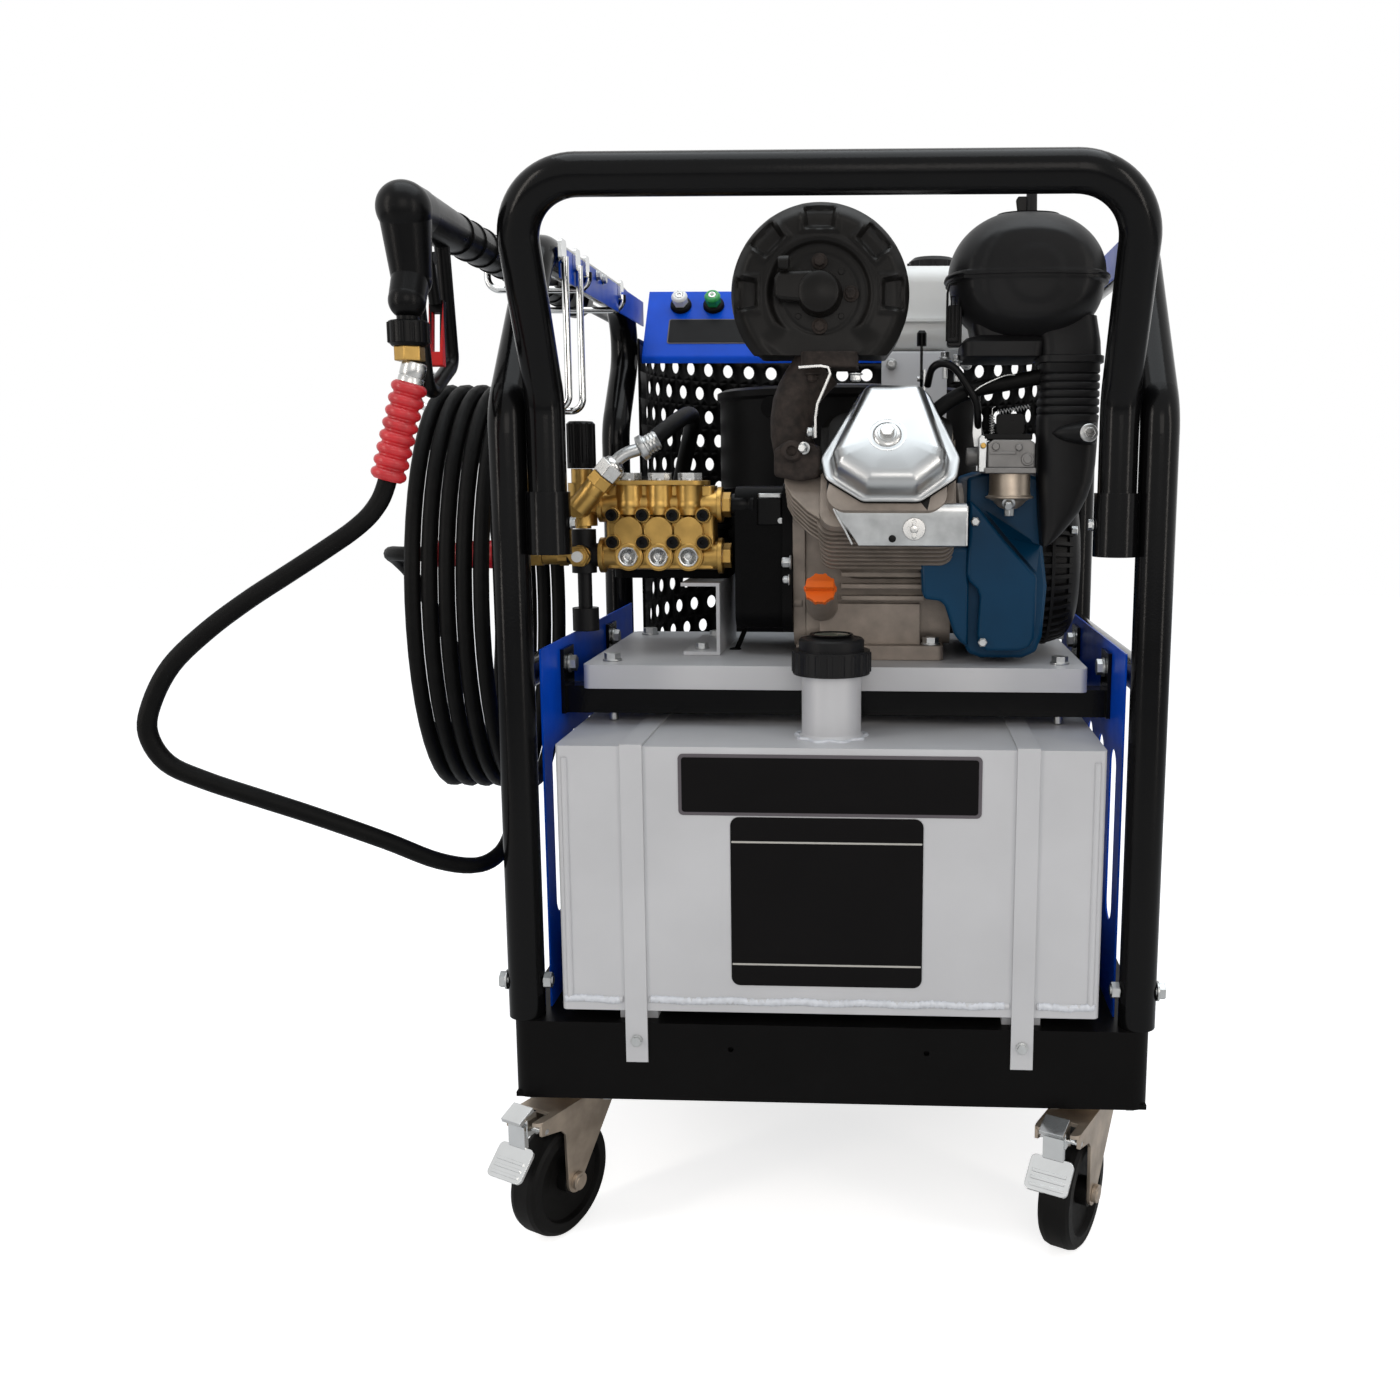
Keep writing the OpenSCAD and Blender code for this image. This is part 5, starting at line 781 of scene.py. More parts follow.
cover_nose = frame_at(on_cylinder(0, 10, 238), ALONG)
turned("rocker_washer", [(7, 2.4), (11, 2.3), (13.5, 1.6), (14.6, 0.4), (14.8, -1)], cover_nose,
       turned_steel)
turned("rocker_dish", [(14.6, -0.4), (16.5, -0.6), (18.5, 0.2), (21, -0.3), (23, -1.6)], cover_nose,
       turned_steel)
bolt("side_bolt_a", (-49, -300, 723), TO_LEFT, 11, 8, 16)
bolt("side_bolt_b", (-48.5, -330, 706), TO_LEFT, 8, 5, 12, turn_deg=20)
bolt("side_bolt_c", (-49, -262, 697), TO_LEFT, 12, 9, 17)
print("rocker washer at", cover_nose.to_translation())

# %% [markdown]
# ## Hoses and rods at the carburettor
# A breather hose runs from the head to the duct, and a thin fuel line loops over it. The governor rod
# is bent wire, with a spring wound from 0.9 mm wire beside it.

# %% Breather hose, fuel line, governor wire and spring
tube("breather_hose", flowing([(92, -338, 868), (112, -342, 889), (140, -340, 905), (176, -334, 913),
                               (218, -334, 921)], 8), 16.5, hose_rubber, sides=20)
tube("fuel_line", flowing([(98, -330, 912), (102, -346, 928), (112, -352, 933), (125, -353, 928),
                           (138, -354, 911), (148, -354, 893), (150, -350, 878), (152, -336, 866),
                           (156, -322, 858)], 6), 8, smooth_black)
tube("governor_wire", flowing([(140, -348, 899), (150, -349, 908), (163, -348, 915), (178, -346, 921),
                               (188, -344, 922)], 5), 1.6, turned_steel)


TURN_POINTS = 14


def spring(name, start, end, radius, wire, turns, material):
    """Coil of wire wound from start to end."""
    run = Vector(end) - Vector(start)
    where = frame_at(start, run)
    steps = turns * TURN_POINTS
    line = []
    for i in range(steps + 1):
        a = math.tau * i / TURN_POINTS
        spot = where @ (Vector((radius * math.cos(a), radius * math.sin(a), run.length * i / steps)) * MM)
        line.append(spot / MM)
    return tube(name, line, wire, material, sides=8)


spring("governor_spring", (166, -337, 857), (166, -337, 881), 2.6, 0.9, 9, turned_steel)
spring("throttle_spring", (172, -332, 884), (206, -332, 890), 2.4, 0.8, 11, zinc)
tube("spring_hook", [(166, -337, 881), (166, -337, 888), (169, -336, 890)], 1, turned_steel)
for i, (x, z) in enumerate(((117, 941), (130, 938))):
    post = frame_at((x, -300, z))
    turned(f"link_post_{i}", [(3, -20), (3, 0), (5.5, 0.2), (6, 1), (6, 2.4), (5, 3), (0.01, 3)], post,
           zinc, steps=24)
    hexagon(f"link_nut_{i}", 9, 3, 8, post, zinc)
print("hoses, wire and springs made")

# %% Carburettor fittings
CARB_FACE = -366.4
for name, profile, x, y, z, material, steps in (
        ("mixture_screw", [(0.01, 3), (2.6, 3), (3, 2.4), (3, 0)], 155.5, CARB_FACE + 4, 849, brass, 20),
        ("body_plug", [(0.01, 2.4), (4, 2.4), (4.6, 1.6), (6.2, 1.6), (6.8, 0)], 201, CARB_FACE, 835,
         carb_alloy, 28),
        ("body_boss", [(0.01, 2), (3.4, 2), (4, 1), (4.2, 0)], 168, CARB_FACE, 848, carb_alloy, 20),
        ("carb_screw", [(0.01, 2.6), (2.6, 2.6), (3.6, 1.8), (4, 0)], 192, CARB_FACE, 847, carb_alloy, 20)):
    turned(name, profile, frame_at((x, y, z), TO_FRONT), material, steps=steps)
plate("throttle_plate", rounded_box(30, 22, 4), 2.4, frame_at((186, -326, 872), TO_FRONT, up=UPWARD),
      smooth_black, bevel=0.6)
plate("governor_arm", [(-3, -14), (3, -14), (5, 0), (3, 30), (-3, 30), (-5, 0)], 2,
      frame_at((150, -341, 862), TO_FRONT, up=UPWARD), zinc, bevel=0.5)
print("carburettor fittings made")

# %% [markdown]
# ## Pump fittings
# The pump head is forged brass. Its valve caps are hexagons, the fluid plugs are turned steel discs,
# and the outlet leaves through a brass elbow, a steel union nut and a bent tube to a black hose.

# %% Second finishes on the pump
OUT = Vector((-269.2, -297, 801))
SLOPE = Vector((0.667, 0, 0.745))
CYLINDER_X, CYLINDER_PITCH = -198, 33.8
HEAD_BOLTS_X = [CYLINDER_X + CYLINDER_PITCH * i for i in (-1.5, -0.5, 0.5, 1.5)]
HEAD_BOLTS_Z = (774, 744)
PLUG_Z = 728


def is_head_bolt(c):
    """Whether a face centre in mm lies on a bolt of the pump head."""
    return min(abs(c.z - z) for z in HEAD_BOLTS_Z) < 8 and min(abs(c.x - x) for x in HEAD_BOLTS_X) < 8


dress("pump_plugs", turned_steel, (brass, lambda c: c.x > -128.6), (smooth_black, is_head_bolt))
dress("inlet_tee", grained_black,
      (brass, lambda c: (-297 < c.y < -286.5 and 714 < c.z < 742) or (-316.5 < c.x < -304.5 and c.z > 714)),
      (tank_white, lambda c: c.y < -296.5), (brass, lambda c: c.x < -308.5))
print("head bolts of the pump at x", HEAD_BOLTS_X)

# %% Union nut, elbow and hose sleeve
start = frame_at(OUT + Vector((9, 0, 10)), SLOPE)
hexagon("outlet_elbow_hex", 25.5, -6, 7, start, brass)
hexagon("union_nut", 27, 8, 24, start, turned_steel)
turned("union_nut_nose", [(8, 22), (12.4, 23), (12.4, 25), (10.5, 28), (8.4, 29.5), (7.2, 30)], start,
       turned_steel)
along_hose = frame_at(OUT + Vector((54, 5.2, 45.6)), (6, 1, 3.2))
turned("crimp_collar", [(7, -3), (11, -2), (13.8, -1), (14.2, 0), (14.2, 5), (13.4, 6), (12, 6.5)],
       along_hose, zinc)
turned("crimp_sleeve", [(12, 6), (11.6, 8), (10.2, 9), (11.2, 11), (10.2, 13), (11.2, 15), (10.2, 17),
                        (11.2, 19), (10, 21), (8.6, 22)], along_hose, zinc)
print("outlet fittings made")

# %% [markdown]
# Each of the three cylinders shows a machined disc with a groove in a raised seat, and a ring stands
# round every bolt of the head.

# %% Plug faces
for i in range(3):
    x = CYLINDER_X + CYLINDER_PITCH * (i - 1)
    turned(f"plug_face_{i}", [(0.01, 0.6), (2.4, 0.5), (2.8, 0.1), (8.6, 0.1), (9.2, 0.5), (10.4, 0.5),
                              (10.8, 0)], frame_at((x, -295.2, PLUG_Z), TO_FRONT), turned_steel, steps=36)
    turned(f"plug_seat_{i}", [(12.2, 1), (14, 1.2), (14.8, 0.6), (15, -1)],
           frame_at((x, -291.3, PLUG_Z), TO_FRONT), brass, steps=36)
for i, x in enumerate(HEAD_BOLTS_X):
    for z in HEAD_BOLTS_Z:
        turned(f"bolt_ring_{i}_{z}", [(6.8, 0), (6.8, 1.2), (8.2, 1.2), (8.8, 0)],
               frame_at((x, -291.2, z), TO_FRONT), brass, steps=24)
turned("tee_screw_ring", [(6.2, 0), (8.6, 0), (9.2, 0.8), (9.2, 2), (6.2, 2.4)],
       frame_at((-287.2, -296.2, PLUG_Z), TO_FRONT), brass, steps=28)
print("plug faces and rings made")

# %% [markdown]
# ## Muffler and air cleaner
# The muffler's outlet ends in a small tube beside the guard's middle. The air cleaner has a spring
# clip in a block on its left, and two bolts hold the fuel tank's shelf.

# %% Outlet and clip
MUFFLER = frame_at((-14, -371, 1001), TO_FRONT, up=UPWARD)
spout = frame_at((-50, -385, 1029), TO_LEFT)
turned("outlet_spout", [(4.4, -6), (4.4, 4), (6.5, 4.6), (7.4, 2), (7.6, -6)], spout, stove_black, steps=28)
latch = frame_at((121, -333, 984), TO_FRONT, up=UPWARD)
plate("latch_block", rounded_box(15, 42, 3), 16, latch @ moved(4, -12, -8), grained_black, bevel=1)
tube("latch_clip", [(117, -343, 956), (117, -343, 1004), (119, -344, 1013), (127, -344, 1013),
                    (129, -343, 1004), (129, -343, 956), (117, -343, 956)], 2.6, smooth_black)
tube("latch_tongue", [(121, -343, 960), (121, -344, 1001), (125, -344, 1001), (125, -343, 960)], 1.8,
     smooth_black)
print("outlet spout at", spout.to_translation())

# %% Shelf bolts
for i, x in enumerate((60, 150)):
    bolt(f"shelf_bolt_{i}", (x, -124, 950), TO_FRONT, 9, 4, 14)
print("shelf bolts made")

# %% [markdown]
# ## Stamped and moulded shells
# The muffler guard is stamped: pockets, a bolted centre plate and a rolled edge all come from one
# sheet. A height field over polar rings gives every dent a soft shoulder, as a press tool would.

# %% Height of the stamped face
def ease(edge0, edge1, value):
    """Smooth step from 0 at edge0 to 1 at edge1."""
    t = min(1, max(0, (value - edge0) / (edge1 - edge0)))
    return t * t * (3 - 2 * t)


GUARD_R, GUARD_FLAT = 91.5, 61
POCKETS = (90, 43, 0, 135, 180)
ROLLED_EDGE = ((-18, 0), (-20, -2.5), (-26, -2.5), (-98, -2.5), (-114, -8), (-124, -20))


def guard_height(r, a):
    """Height in mm of the stamped face at radius r and angle a in degrees."""
    open_end = ease(0.52, 0.78, -math.sin(math.radians(a)))
    h = -14 * ease(74, 96, r) ** 1.6
    h -= 4 * max(1 - ease(47.5, 53.5, r), open_end * (1 - ease(70, 80, r)))
    h -= 0.7 * math.exp(-((r - 39) / 1.6) ** 2)
    h += 1.2 * math.exp(-((r - 56) / 3.2) ** 2) * (1 - open_end)
    for middle in POCKETS:
        off = math.radians((a - middle + 180) % 360 - 180)
        across, along = r * math.sin(off), r * math.cos(off) - 75
        if math.cos(off) > 0:
            d = max(abs(across) - 14.5 - 0.1 * along, abs(along) - 10)
            rim = max(abs(across) - 19, abs(along) - 14.5)
            h += 1.8 * (1 - ease(-2, 2.5, rim)) - 7 * (1 - ease(-2.5, 2.5, d))
    return h


print("middle of the guard", round(guard_height(0, 0), 2), "mm")

# %% Muffler guard
def guard_reach(sine):
    """Radius of the guard where the angle has this sine: the circle is cut flat at the foot."""
    return min(GUARD_R, -GUARD_FLAT / sine) if -sine * GUARD_R > GUARD_FLAT else GUARD_R


def stamped_guard(where, rings=62, spokes=192):
    """The stamped face over polar rings, with its edge rolled back in steps of (depth, growth)."""
    verts = [(0, 0, guard_height(0, 0))]
    for i in range(1, rings + 1):
        for k in range(spokes):
            a = 360 * k / spokes
            sine = math.sin(math.radians(a))
            r = guard_reach(sine) * i / rings
            verts.append((r * math.cos(math.radians(a)), r * sine, guard_height(r, a)))
    outline = verts[-spokes:]
    for depth, grow in ROLLED_EDGE:
        for x, y, _ in outline:
            size = 1 + grow / math.hypot(x, y)
            verts.append((x * size, y * size, depth))
    faces = [(0, 1 + k, 1 + (k + 1) % spokes) for k in range(spokes)]
    for i in range(rings + len(ROLLED_EDGE) - 1):
        for k in range(spokes):
            a, b = 1 + i * spokes + k, 1 + i * spokes + (k + 1) % spokes
            faces.append((a, a + spokes, b + spokes, b))
    faces.append(list(range(len(verts) - spokes, len(verts))))
    return piece("muffler_shell", verts, faces, where, stove_black, smooth=40)


guard = stamped_guard(MUFFLER)
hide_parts("muffler")
print("guard points", len(guard.data.vertices))

# %% Foot, skirt, outlet and bolts of the guard
foot = frame_at((-4, -345, 936), UPWARD, up=(0, 1, 0))
plate("muffler_foot", rounded_box(58, 64, 8), 16, foot @ moved(0, 0, -8.5), rusty_iron, bevel=1.5)
skirt = frame_at((-13, -359, 944), TO_FRONT, up=UPWARD)
plate("guard_skirt", [(-56, -3), (56, -3), (62, 10), (50, 22), (-50, 22), (-62, 10)], 9,
      skirt @ moved(0, 0, -9), stove_black, bevel=3)
turned("outlet_boss", [(23.5, -4), (22.5, 4), (21.8, 12), (20, 17), (15, 19.6), (0.01, 20)], MUFFLER,
       stove_black, steps=56)
plate("outlet_beak", [(-20, -13), (18, -16), (18, 16), (-20, 15), (-24, 9), (-24, -8)], 16,
      MUFFLER @ moved(-21, 5, 0), stove_black, bevel=4)
for a in (45, 135, 225, 315):
    turned(f"spot_weld_{a}", [(3.2, 0), (2.6, -0.5), (1, -0.8), (0.01, -0.8)],
           round_about(MUFFLER, a, 31, -3), stove_black, steps=16)
for i, a in enumerate((0, 90, 180, 270)):
    spot = round_about(MUFFLER, a, 32, -3)
    turned(f"guard_washer_{i}", [(4.6, 0), (7.6, 0), (8.2, 0.6), (8, 1.6), (4.6, 1.8)], spot, rusty_iron,
           steps=28)
    hexagon(f"guard_bolt_{i}", 10, 1.6, 6.4, spot, rusty_iron)
print("foot, skirt and outlet made")

# %% [markdown]
# The rocker cover is deep drawn from one sheet: a flat flange that clamps the gasket, a steep skirt and
# a crown with soft creases. It is lofted from two outlines whose corner radius shrinks towards the top.

# %% Outlines and lofts
def soft_outline(points, r, steps=7):
    """Convex outline round the points, r mm outside them, with arcs at the corners."""
    ring, n = [], len(points)
    for i in range(n):
        p, q, s = (Vector(points[j % n]) for j in (i - 1, i, i + 1))
        a = math.atan2(-(q - p).x, (q - p).y)
        b = math.atan2(-(s - q).x, (s - q).y)
        while b < a:
            b += math.tau
        ring += [(q.x + r * math.cos(a + (b - a) * k / steps), q.y + r * math.sin(a + (b - a) * k / steps))
                 for k in range(steps + 1)]
    return ring


def lofted(name, rings, where, material, smooth=35):
    """Skin through rings of (x, y, z) points in millimetres, all with the same number of points."""
    verts = [p for ring in rings for p in ring]
    n = len(rings[0])
    faces = [(i * n + k, i * n + (k + 1) % n, (i + 1) * n + (k + 1) % n, (i + 1) * n + k)
             for i in range(len(rings) - 1) for k in range(n)]
    faces += [list(range(n)), list(range(len(verts) - n, len(verts)))]
    return piece(name, verts, faces, where, material, smooth=smooth)


print("points round a square:", len(soft_outline([(0, 0), (9, 0), (9, 9), (0, 9)], 2)))

# %% Rocker cover
FLANGE = [(-20, -36), (29, -36), (58, -14), (60, 0), (31, 73), (-17, 73), (-53, -1), (-50, -15)]
CROWN = [(-15, -33), (24, -33), (47, -13), (48, -4), (28, 66), (-15, 66), (-43, -5), (-41, -14)]
COVER = frame_at(SHAFT + ALONG * 206, ALONG, up=UPWARD)


def level(points, r, z, size=1.0):
    """Ring at height z round the points, drawn in towards the cover's middle by size."""
    return [(3 + (x - 3) * size, 10 + (y - 10) * size, z) for x, y in soft_outline(points, r)]


FLANGE_RINGS = ((13.4, 0.2), (14, 1.4), (14, 2.4), (13.4, 3.3), (12.2, 3.7), (10.6, 3.3))
CROWN_RINGS = ((16.4, 3.2), (14.6, 4), (13.5, 6), (12.8, 10), (12, 17), (11.2, 21.5), (9.8, 24.6),
               (7.2, 27.6), (4.2, 29.8), (1.6, 31), (0.6, 31.4, 0.9), (0.5, 31.9, 0.6), (0.5, 32, 0.36))
GASKET_RINGS = ((13.5, -0.6), (14.8, -0.2), (14.8, 1.4), (13.5, 1.8))
rings = [level(FLANGE, *ring) for ring in FLANGE_RINGS] + [level(CROWN, *ring) for ring in CROWN_RINGS]
cover = lofted("rocker_cover_steel", rings, COVER, cover_steel, smooth=48)
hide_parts("rocker_cover")
lofted("rocker_gasket", [level(FLANGE, *ring) for ring in GASKET_RINGS], COVER, smooth_black)
hexagon("rocker_bolt", 13, 3, 9.4, cover_nose, turned_steel)
turned("rocker_bolt_washer", [(5, 3.4), (9.4, 3.3), (9.9, 2.6), (9.8, 1.8)], cover_nose, zinc)
print("rings of the rocker cover", len(rings))

# %% [markdown]
# ## Air cleaner
# The dust bowl and its cover are blown shells that meet at a clamped seam. Both are nearly round in
# plan, with a flat raised panel at the front, so a turned form is pressed flat there. A ribbed duct
# drops from the case and curves in towards the carburettor.

# %% Bowl and cover
ROUND = Vector((201, -306))


def blown(name, profile, material, face_y, steps=112):
    """Turned shell of (radius, z) pairs, pressed to a panel with two raised rings at y = face_y."""
    verts = []
    for k in range(steps):
        c, s = math.cos(math.tau * k / steps), math.sin(math.tau * k / steps)
        for r, z in profile:
            x = ROUND.x + r * math.copysign(abs(c) ** 0.86, c)
            y = ROUND.y + r * math.copysign(abs(s) ** 0.74, s)
            d = math.hypot(x - ROUND.x - 4, z - 1020)
            limit = face_y + 0.0009 * d * d - 1.3 * (1 - ease(26, 29, d)) + 2.2 * ease(52, 55, d)
            if y < limit:
                y = limit + 0.12 * (y - limit)
            verts.append((x, y, z))
    return piece(name, verts, spun_faces(len(profile), steps), IN_PLACE, material, smooth=28)


def arc(r, z, rise, end_r, steps):
    """Part of an ellipse from the rim (r, z) inwards to radius end_r; rise is its half height."""
    last = math.acos(end_r / r)
    return [(r * math.cos(last * i / steps), z + rise * math.sin(last * i / steps))
            for i in range(steps + 1)]


bowl = blown("dust_bowl", [(84.5, 1019.5), (84.5, 1016.5), (81, 1015.5), *arc(80, 1014.5, -63, 0.02, 30)],
             grained_black, -373)
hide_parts("air_cleaner_case")
lid = blown("cleaner_lid", [(0.02, 1083), (26, 1083), (27.5, 1084.5), (30, 1087), (33, 1086.8),
                            *reversed(arc(82, 1025, 66.5, 32, 26)), (83, 1024.5), (85.5, 1023.5),
                            (86.3, 1021.5), (85, 1019.6), (80, 1019.6)], grained_black, -374.5)
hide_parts("air_cleaner_cover")
stud = frame_at((205, -306, 1083))
turned("lid_stud", [(13, 0), (12.4, 1.6), (8, 2), (6.4, 3.4), (6, 8), (5.6, 27), (4.6, 29), (0.01, 29.6)],
       stud, grained_black, steps=36)
plate("lid_wing", [(-7, 3), (7, 3), (5.5, 20), (3, 22), (-9, 22), (-11.5, 18), (-10, 8)], 3.4,
      frame_at((200, -304, 1085), TO_FRONT, up=UPWARD), smooth_black, bevel=1.1)
print("bowl points", len(bowl.data.vertices), "lid points", len(lid.data.vertices))

# %% Duct and base
def duct_ring(z, x0, x1, y0=-356, y1=-304, r=15):
    """Rounded rectangle at height z."""
    w, d = x1 - x0, y1 - y0
    r = min(r, w / 2 - 0.5, d / 2 - 0.5)
    return [((x0 + x1) / 2 + x, (y0 + y1) / 2 + y, z) for x, y in rounded_box(w, d, r)]


DUCT_RIBS, RIB_TOP, RIB_PITCH = 6, 923, 8.2
GROOVE = ((2.2, 214, 276.6), (0.9, 214.6, 275.8, -355.4), (0, 215.6, 274.4, -354),
          (-0.9, 214.6, 275.8, -355.4), (-2.2, 214, 276.6))
rings = [duct_ring(936, 214, 276)]
for i in range(DUCT_RIBS):
    rings += [duct_ring(RIB_TOP - RIB_PITCH * i + rise, *sides) for rise, *sides in GROOVE]
for z, x0, x1 in ((874, 214, 276), (850, 214, 275.5), (830, 214.5, 274.5), (812, 215, 272), (796, 216, 267),
                  (780, 217, 259), (768, 218, 250), (757, 219, 240), (749, 220, 231), (744.5, 221, 224)):
    rings.append(duct_ring(z, x0, x1, -355.5, -304, min(15, (x1 - x0) / 2 - 0.6)))
lofted("ribbed_duct", rings, IN_PLACE, grained_black, smooth=50)
FLANGE_LEVELS = ((933.4, -1.2), (934.2, 0), (940.6, 0), (941.4, -1.2))
lofted("duct_flange", [duct_ring(z, 211 - g, 279.5 + g, -359 - g, -302 + g) for z, g in FLANGE_LEVELS],
       IN_PLACE, grained_black)
lofted("duct_throat", [duct_ring(940, 214, 277), duct_ring(956, 213, 276, -355),
                       duct_ring(982, 206, 272, -350, -292)], IN_PLACE, grained_black)
BASE_RINGS = ((939, 135, 214, -352), (940.5, 133, 216, -354), (955, 133, 218, -354), (959, 137, 218, -351),
              (962, 146, 216, -346), (988, 140, 216, -346))
lofted("cleaner_base", [duct_ring(*ring, -250, 12) for ring in BASE_RINGS], IN_PLACE, grained_black)
print("duct rings", len(rings))

# %% Duct boss
BOSS_LINE = ((226, 0.5), (232, 5), (240, 8.6), (249, 10.6), (258, 11.6), (266, 12), (270.5, 11.6),
             (272, 10))


def circle(count):
    """Points of a circle of radius 1."""
    return [(math.cos(math.tau * k / count), math.sin(math.tau * k / count)) for k in range(count)]


rings = [[(x, -354 - 1.15 * r * c, 862 + r * s) for c, s in circle(32)] for x, r in BOSS_LINE]
lofted("duct_boss", rings, IN_PLACE, grained_black, smooth=60)
side_bolt = frame_at((263, -366.8, 862), TO_FRONT)
turned("duct_bolt_washer", [(3, 0.6), (8.6, 0.4), (9.4, 1), (9.3, 2), (8.6, 2.6), (3, 2.8)], side_bolt,
       zinc)
hexagon("duct_bolt", 10.5, 2.4, 7.4, side_bolt, turned_steel)
print("rings of the boss", len(rings))

# %% [markdown]
# The exhaust elbow is a fat iron casting. Heat has turned it a dull brown, and its skin keeps the grain
# of the sand mould.

# %% Exhaust elbow
ELBOW = [((-17, -344, 929), 26), ((-22, -345, 923), 25.4), ((-30, -347, 913), 24.4),
         ((-37, -349.5, 902), 23.4), ((-41.5, -351, 891), 22.8), ((-44, -351, 876), 22.4),
         ((-44, -351, 860), 22.4), ((-42, -350, 846), 22.4), ((-33, -347, 833), 22), ((-15, -341, 825), 21),
         ((4, -332, 822), 20), ((20, -322, 822), 19)]
rings = []
for i, (spot, r) in enumerate(ELBOW):
    a, b = Vector(ELBOW[max(0, i - 1)][0]), Vector(ELBOW[min(len(ELBOW) - 1, i + 1)][0])
    across = frame_at((0, 0, 0), b - a, up=(0, 1, 0)).to_3x3()
    rings.append([Vector(spot) + across @ Vector((r * c, r * s, 0)) for c, s in circle(40)])
elbow = lofted("elbow_casting", rings, IN_PLACE, rusty_iron, smooth=60)
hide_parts("exhaust_elbow")
head_flange = frame_at((-40, -352, 836), (-0.1, -1, 0), up=UPWARD)
plate("elbow_foot", [(-19, -19), (8, -24), (28, -20), (32, -8), (30, 10), (14, 17), (-8, 16), (-19, 8)], 26,
      head_flange, rusty_iron, bevel=4)
for i, (x, z) in enumerate(((-24, 903), (-47, 869), (-26, 855))):
    turned(f"elbow_dot_{i}", [(3.4, 0), (3, 1), (1.6, 1.6), (0.01, 1.8)],
           frame_at((x, -371.5 + abs(x + 37) * 0.28, z), TO_FRONT), rusty_iron, steps=18)
print("rings of the elbow", len(rings))

# %% [markdown]
# ## Nozzle panel
# The panel is one folded sheet: a short lip at the front, the sloping face, and a flange turned back at
# the top, with a gusset at each end. Four rubber rings hold the spray nozzles. The data plate is blank.

# %% Folded sheet
UP = Vector((0, 0.588, 0.809))
OFF = Vector((0, -0.809, 0.588))
FOOT = Vector((0, 110, 968))


def on_panel(x, up, off=0.0):
    """Point in mm on the sloping face: x across, up the slope, off the face."""
    return FOOT + Vector((x, 0, 0)) + UP * up + OFF * off


def bend(corner, a, b, r):
    """Arc of five points that turns from direction a to direction b at a corner."""
    a, b = Vector(a).normalized(), Vector(b).normalized()
    return [corner - a * r * (1 - t) ** 2 + b * r * t ** 2 for t in (0, 0.25, 0.5, 0.75, 1)]


HALF_PANEL = 289
low, high = on_panel(0, 15), on_panel(0, 137)
inner_low, inner_high = low + Vector((0, 2.2, -1)), high - OFF * 2 - UP * 2
outside = [low - Vector((0, 0, 9)), *bend(low, UPWARD, UP, 3.5), *bend(high, UP, -OFF, 3.5),
           high - OFF * 34]
inside = [high - OFF * 34 - UP * 2, *reversed(bend(inner_high, UP, -OFF, 2)),
          *reversed(bend(inner_low, UPWARD, UP, 2)), low + Vector((0, 2, -9))]
sheet = lofted("panel_sheet",
               [[(x, p.y, p.z) for p in outside + inside] for x in (-HALF_PANEL, HALF_PANEL)], IN_PLACE,
               royal_blue)
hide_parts("nozzle_panel")
GUSSET = [(1.5, 16), (1.5, 134), (28, 134), (28, 60), (9, 16)]
for side, x in (("left", -HALF_PANEL), ("right", HALF_PANEL - 2)):
    plate("panel_gusset_" + side, GUSSET, 2, frame_at(on_panel(x, 0), TO_RIGHT, up=UP), royal_blue)
blank = frame_at(on_panel(-170, 60.5, 0.1), OFF, up=UP)
plate("panel_plate_edge", rounded_box(172, 45, 4), 0.7, blank, plate_grey)
plate("panel_plate", rounded_box(168.5, 41.5, 2.6), 0.5, blank @ moved(0, 0, 0.6), plate_black)
print("panel", 2 * HALF_PANEL, "mm wide")

# %% Nozzle rings and tips
FIRST_NOZZLE, NOZZLE_PITCH = -241, 47
for i, colour in enumerate(COLOURS):
    seat = frame_at(on_panel(FIRST_NOZZLE + NOZZLE_PITCH * i, 108), OFF)
    turned(f"nozzle_ring_{colour}", [(8, 0), (14.6, 0), (15.2, 1), (14.8, 4), (13, 6.6), (11.6, 7.2),
                                     (8, 7.2)], seat, tyre_rubber)
    turned(f"nozzle_crown_{colour}", [(11.6, 18.6), (10.6, 20), (9.8, 21.6), (8.4, 22.6), (6.2, 22.9),
                                      (5.6, 22)], seat, coupler[colour], f"nozzle_{colour}", 36)
    turned(f"nozzle_tip_{colour}", [(5.8, 21), (5.6, 22.6), (4.8, 23.4), (3.2, 23.6), (2.4, 22.6),
                                    (1.2, 21.8), (0.01, 21.6)], seat, turned_steel, f"nozzle_{colour}", 28)
print("nozzles", NOZZLE_PITCH, "mm apart")

# %% [markdown]
# ## Plates and fins round the cylinder
# A pressed zinc shield guards the hot cylinder. Its top edge is folded back and one lower corner is cut
# away. Cooling fins of the casting stand beside it. The shelf behind carries the fuel tank.

# %% Sheet and patch helpers
def sheet_metal(name, path, x0, x1, thick, material, trim=None, steps=1):
    """Folded sheet: a path of (y, z) points in millimetres, thick mm, from x0 to x1."""
    path = [Vector(p) for p in path]
    side = []
    for i, p in enumerate(path):
        run = path[min(i + 1, len(path) - 1)] - path[max(i - 1, 0)]
        side.append(Vector((-run.y, run.x)).normalized() * thick)
    loop = [(p.x, p.y) for p in path] + [tuple(p + s) for p, s in reversed(list(zip(path, side)))]
    rings = []
    for k in range(steps + 1):
        x = x0 + (x1 - x0) * k / steps
        rings.append([(trim(x, z) if trim else x, y, z) for y, z in loop])
    return lofted(name, rings, IN_PLACE, material)


